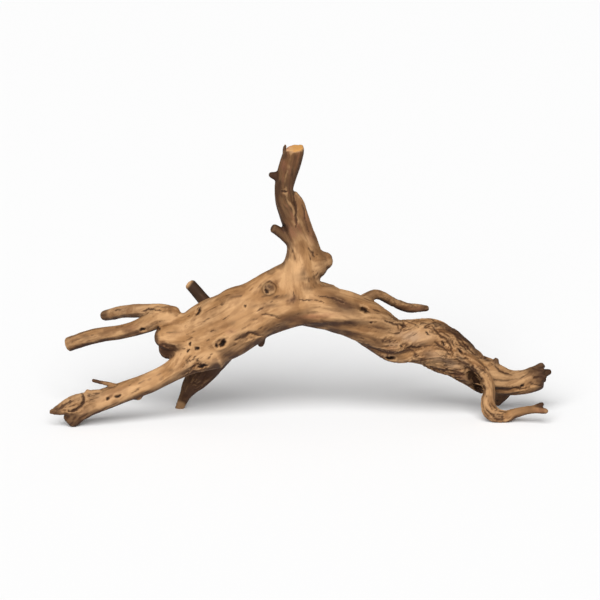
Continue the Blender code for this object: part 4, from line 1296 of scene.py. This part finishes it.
# %% Mix the wood
class Wood(Recipe):
    """The weathered wood's recipe, with the noises and readings that its coats share."""

    def __init__(self):
        super().__init__("weathered_driftwood")
        self.here = self.node("ShaderNodeTexCoord", {}, {}, "Object")
        fibre = self.stored_vector("fibre")
        self.fine = self.noise(self.stretched(fibre, FINE_GRAIN), 1.0, 3.0)
        self.medium = self.noise(self.stretched(fibre, MEDIUM_GRAIN), 1.0, 3.0)
        self.speck, self.cloud = self.noise(self.here, SPECKS, 2.0), self.noise(self.here, CLOUDS, 3.0)
        self.clear, self.rough, self.bark = self.stored("clear"), self.stored("rough"), self.stored("bark")
        self.worn = SMOOTH_WEAR + (1 - SMOOTH_WEAR) * self.rough

    def kinds_of_wood(self):
        """Coats for the dried plates, the dry grey wood, the upright's bark and the pink young wood."""
        stored, rough, bark, medium = self.stored, self.rough, self.bark, self.medium
        return [
            (rough * stored("shade").step(0.3, 1.0, 0.1, 0.9), GREY_TAN),
            (rough * stored("shade").step(0.35, 0.0, 0.0, 0.55), BROWN),
            (stored("grey") * 0.8, DRY_GREY),
            (bark * 0.9, BARK),
            (bark * stored("mottle").step(0.5, 0.7, 0.0, 0.8), RED_BARK),
            (bark * stored("patch").step(0.9, 0.0, 0.0, 0.25), TAN),
            (bark * medium.step(0.5, 0.36, 0.0, 0.7), NEAR_BLACK),
            (bark * medium.step(0.52, 0.68, 0.0, 0.5), PINK),
            (stored("pink") * 0.75, PINK),
        ]

    def weathering(self):
        """Coats for clouds, patches, streaks, grain and dashes, the limbs' tones and painted shade on the
        undersides.
        """
        stored, rough, worn, clear, cloud = self.stored, self.rough, self.worn, self.clear, self.cloud
        return [
            (worn * cloud.step(0.5, 0.7, 0.0, 0.5), BROWN),
            (stored("patch") * (0.5 + 0.15 * rough), BROWN),
            (worn * stored("streak").step(0.48, 0.25, 0.0, 0.6), BROWN),
            (worn * clear * self.medium.step(0.48, 0.3, 0.0, 0.5), BROWN),
            (worn * clear * self.fine.step(0.5, 0.28, 0.0, 0.45), BROWN),
            (stored("dash") * (0.3 + 0.4 * rough), BROWN),
            # Dark tones; on the rear stub, the root flap and the collar's heel they are partly painted shade.
            (stored("tone").step(0.0, -1.0, 0.0, 0.88), DEEP_BROWN),
            (stored("tone").step(-0.95, -1.3, 0.0, 0.7), NEAR_BLACK),
            # Painted shade on the skin that faces down, patchy with the clouds.
            (stored("under") * cloud.step(0.3, 0.6, 0.6, 0.95), PAINTED_UNDERSIDE_SHADE),
        ]

    def marks(self):
        """Coats for stained spots and painted shade, hollows, rubbed ridges, seams, furrows, tips, holes and
        the sawn face.
        """
        stored = self.stored
        rubbed = stored("hollow").step(-0.25, -1.0, 0.0, 0.45) * stored("tone").step(-0.7, -0.1, 0.3, 1.0)
        return [
            # Stained spots, and painted shade under the collar, in the big hollow, on the upright's rims and
            # on the trunk's upper right edge.
            (stored("stain_and_shade") * 0.8, DEEP_BROWN),
            # Hollows painted darker: dirt, and painted shade.
            (stored("hollow").step(0.1, 1.0, 0.0, 0.75), DEEP_BROWN),
            (rubbed, PALE_TAN),
            (stored("seam") * 0.6, DEEP_BROWN),
            (stored("furrow") * 0.7, DEEP_BROWN),
            # Dark balls: staining at tips and forks, partly painted shade under the collar and on the trunk's
            # upper right edge, and painted shade on the upright's lower left edge.
            (stored("blotch_and_shade") * self.fine.step(0.2, 0.6, 1.0, 0.88), DEEP_BROWN),
            (stored("pale") * 0.85, PALE_TAN),
            # Holes: their near-black paints the shade inside them.
            (stored("hole"), NEAR_BLACK),
            (stored("cut"), self.sawn()),
        ]

    def sawn(self):
        """The sawn face's colour: pale with pink clouds, and orange to the right of a wavy line."""
        pale = self.mix(self.noise(self.here, SAWN_CLOUDS, 2.0).step(0.4, 0.6), SAWN, SAWN_PINK)
        aside = self.node("ShaderNodeSeparateXYZ", {}, {"Vector": self.here}, 0)
        wavy = aside + SAWN_WANDER * self.noise(self.here, SAWN_WAVES, 1.0)
        return self.mix(wavy.step(*SAWN_TURN), pale, SAWN_ORANGE)

    def finish(self):
        """Fill the surface's sockets and give the material."""
        ground = self.mix(self.stored("mottle").step(0.32, 0.68), TAN, PALE_TAN)
        coats = self.kinds_of_wood() + self.weathering() + self.marks()
        sockets = self.surface.inputs
        self.fill(sockets["Base Color"], self.coated(ground, coats))
        self.fill(sockets["Specular IOR Level"], SPECULAR)
        roughness = LEAST_ROUGHNESS + ROUGH_GAIN * self.rough + SPECK_GAIN * self.speck
        self.fill(sockets["Roughness"], roughness)
        height = self.clear * (self.fine + self.medium) * GRAIN_BUMP + self.speck * SPECK_BUMP
        bump = {"Strength": BUMP_STRENGTH, "Distance": BUMP_DISTANCE, "Height": height}
        self.fill(sockets["Normal"], self.node("ShaderNodeBump", {}, bump))
        return self.material


wood.data.materials.clear()
wood.data.materials.append(Wood().finish())
print("The wood has", len(wood.data.materials[0].node_tree.nodes), "nodes")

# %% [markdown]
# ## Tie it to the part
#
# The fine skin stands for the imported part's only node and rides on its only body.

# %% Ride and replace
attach(wood, "root")
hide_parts("driftwood")

# %% [markdown]
# ## Floor and light
#
# A pale floor and a wide soft light from above show the wood as on a studio table. A sun lamp with a very
# wide disc acts like a large softbox that is as strong far off as near, so the floor stays even up to the
# picture's edge. It stands high, a little to the front and left. A weak white sky fills the shade on the
# undersides and at the back.

# %% The studio
FLOOR_SIZE = 40.0
FLOOR_WHITE, FLOOR_ROUGHNESS = (0.86, 0.86, 0.86, 1.0), 0.9
SUN_HEIGHT, SUN_ASIDE, SUN_DISC = math.radians(40), math.radians(-8), math.radians(55)
SUN_STRENGTH, SKY_STRENGTH = 4.6, 0.22


def make_floor():
    """One large square just under the feet."""
    half = FLOOR_SIZE / 2
    mesh = bpy.data.meshes.new("floor")
    corners = [(-half, -half, 0), (half, -half, 0), (half, half, 0), (-half, half, 0)]
    mesh.from_pydata(corners, [], [(0, 1, 2, 3)])
    floor = bpy.data.objects.new("floor", mesh)
    recipe = Recipe("pale_floor")
    recipe.fill(recipe.surface.inputs["Base Color"], FLOOR_WHITE)
    recipe.fill(recipe.surface.inputs["Roughness"], FLOOR_ROUGHNESS)
    mesh.materials.append(recipe.material)
    bpy.context.scene.collection.objects.link(floor)


def make_sun():
    """A soft sun, SUN_HEIGHT above the floor and SUN_ASIDE from straight in front."""
    lamp = bpy.data.lights.new("softbox", "SUN")
    lamp.energy = SUN_STRENGTH
    lamp.angle = SUN_DISC
    light = bpy.data.objects.new("softbox", lamp)
    light.rotation_euler = (math.pi / 2 - SUN_HEIGHT, 0, SUN_ASIDE)
    bpy.context.scene.collection.objects.link(light)


def make_sky():
    """An even white sky."""
    world = bpy.data.worlds.new("studio")
    world.use_nodes = True
    background = world.node_tree.nodes["Background"]
    background.inputs["Color"].default_value = (1.0, 1.0, 1.0, 1.0)
    background.inputs["Strength"].default_value = SKY_STRENGTH
    bpy.context.scene.world = world


make_floor()
make_sun()
make_sky()
bpy.context.scene.view_settings.view_transform = "Standard"
print("The sun's strength is", SUN_STRENGTH, "and the sky's is", SKY_STRENGTH)

# %% [markdown]
# ## The camera
#
# The picture was taken with a long lens, looking down at the same slight angle as the sighting of the
# limbs. The camera stands far off, and sees a field of 480 mm across.

# %% Place the camera
CAMERA_DISTANCE, CLIP_END = 4.0, 100.0
FIELD = 0.480
SENSOR = 36.0
AIM = np.array([-0.0002, -0.0126, 0.0988])


def make_camera():
    lens = bpy.data.cameras.new("camera")
    lens.sensor_width = SENSOR
    lens.lens = SENSOR * CAMERA_DISTANCE / FIELD
    lens.clip_end = CLIP_END
    camera = bpy.data.objects.new("camera", lens)
    camera.location = AIM + TOWARDS_EYE * CAMERA_DISTANCE
    camera.rotation_euler = (math.pi / 2 - SIGHT, 0, 0)
    bpy.context.scene.collection.objects.link(camera)
    bpy.context.scene.camera = camera


make_camera()
print("The lens is", bpy.context.scene.camera.data.lens, "mm long")
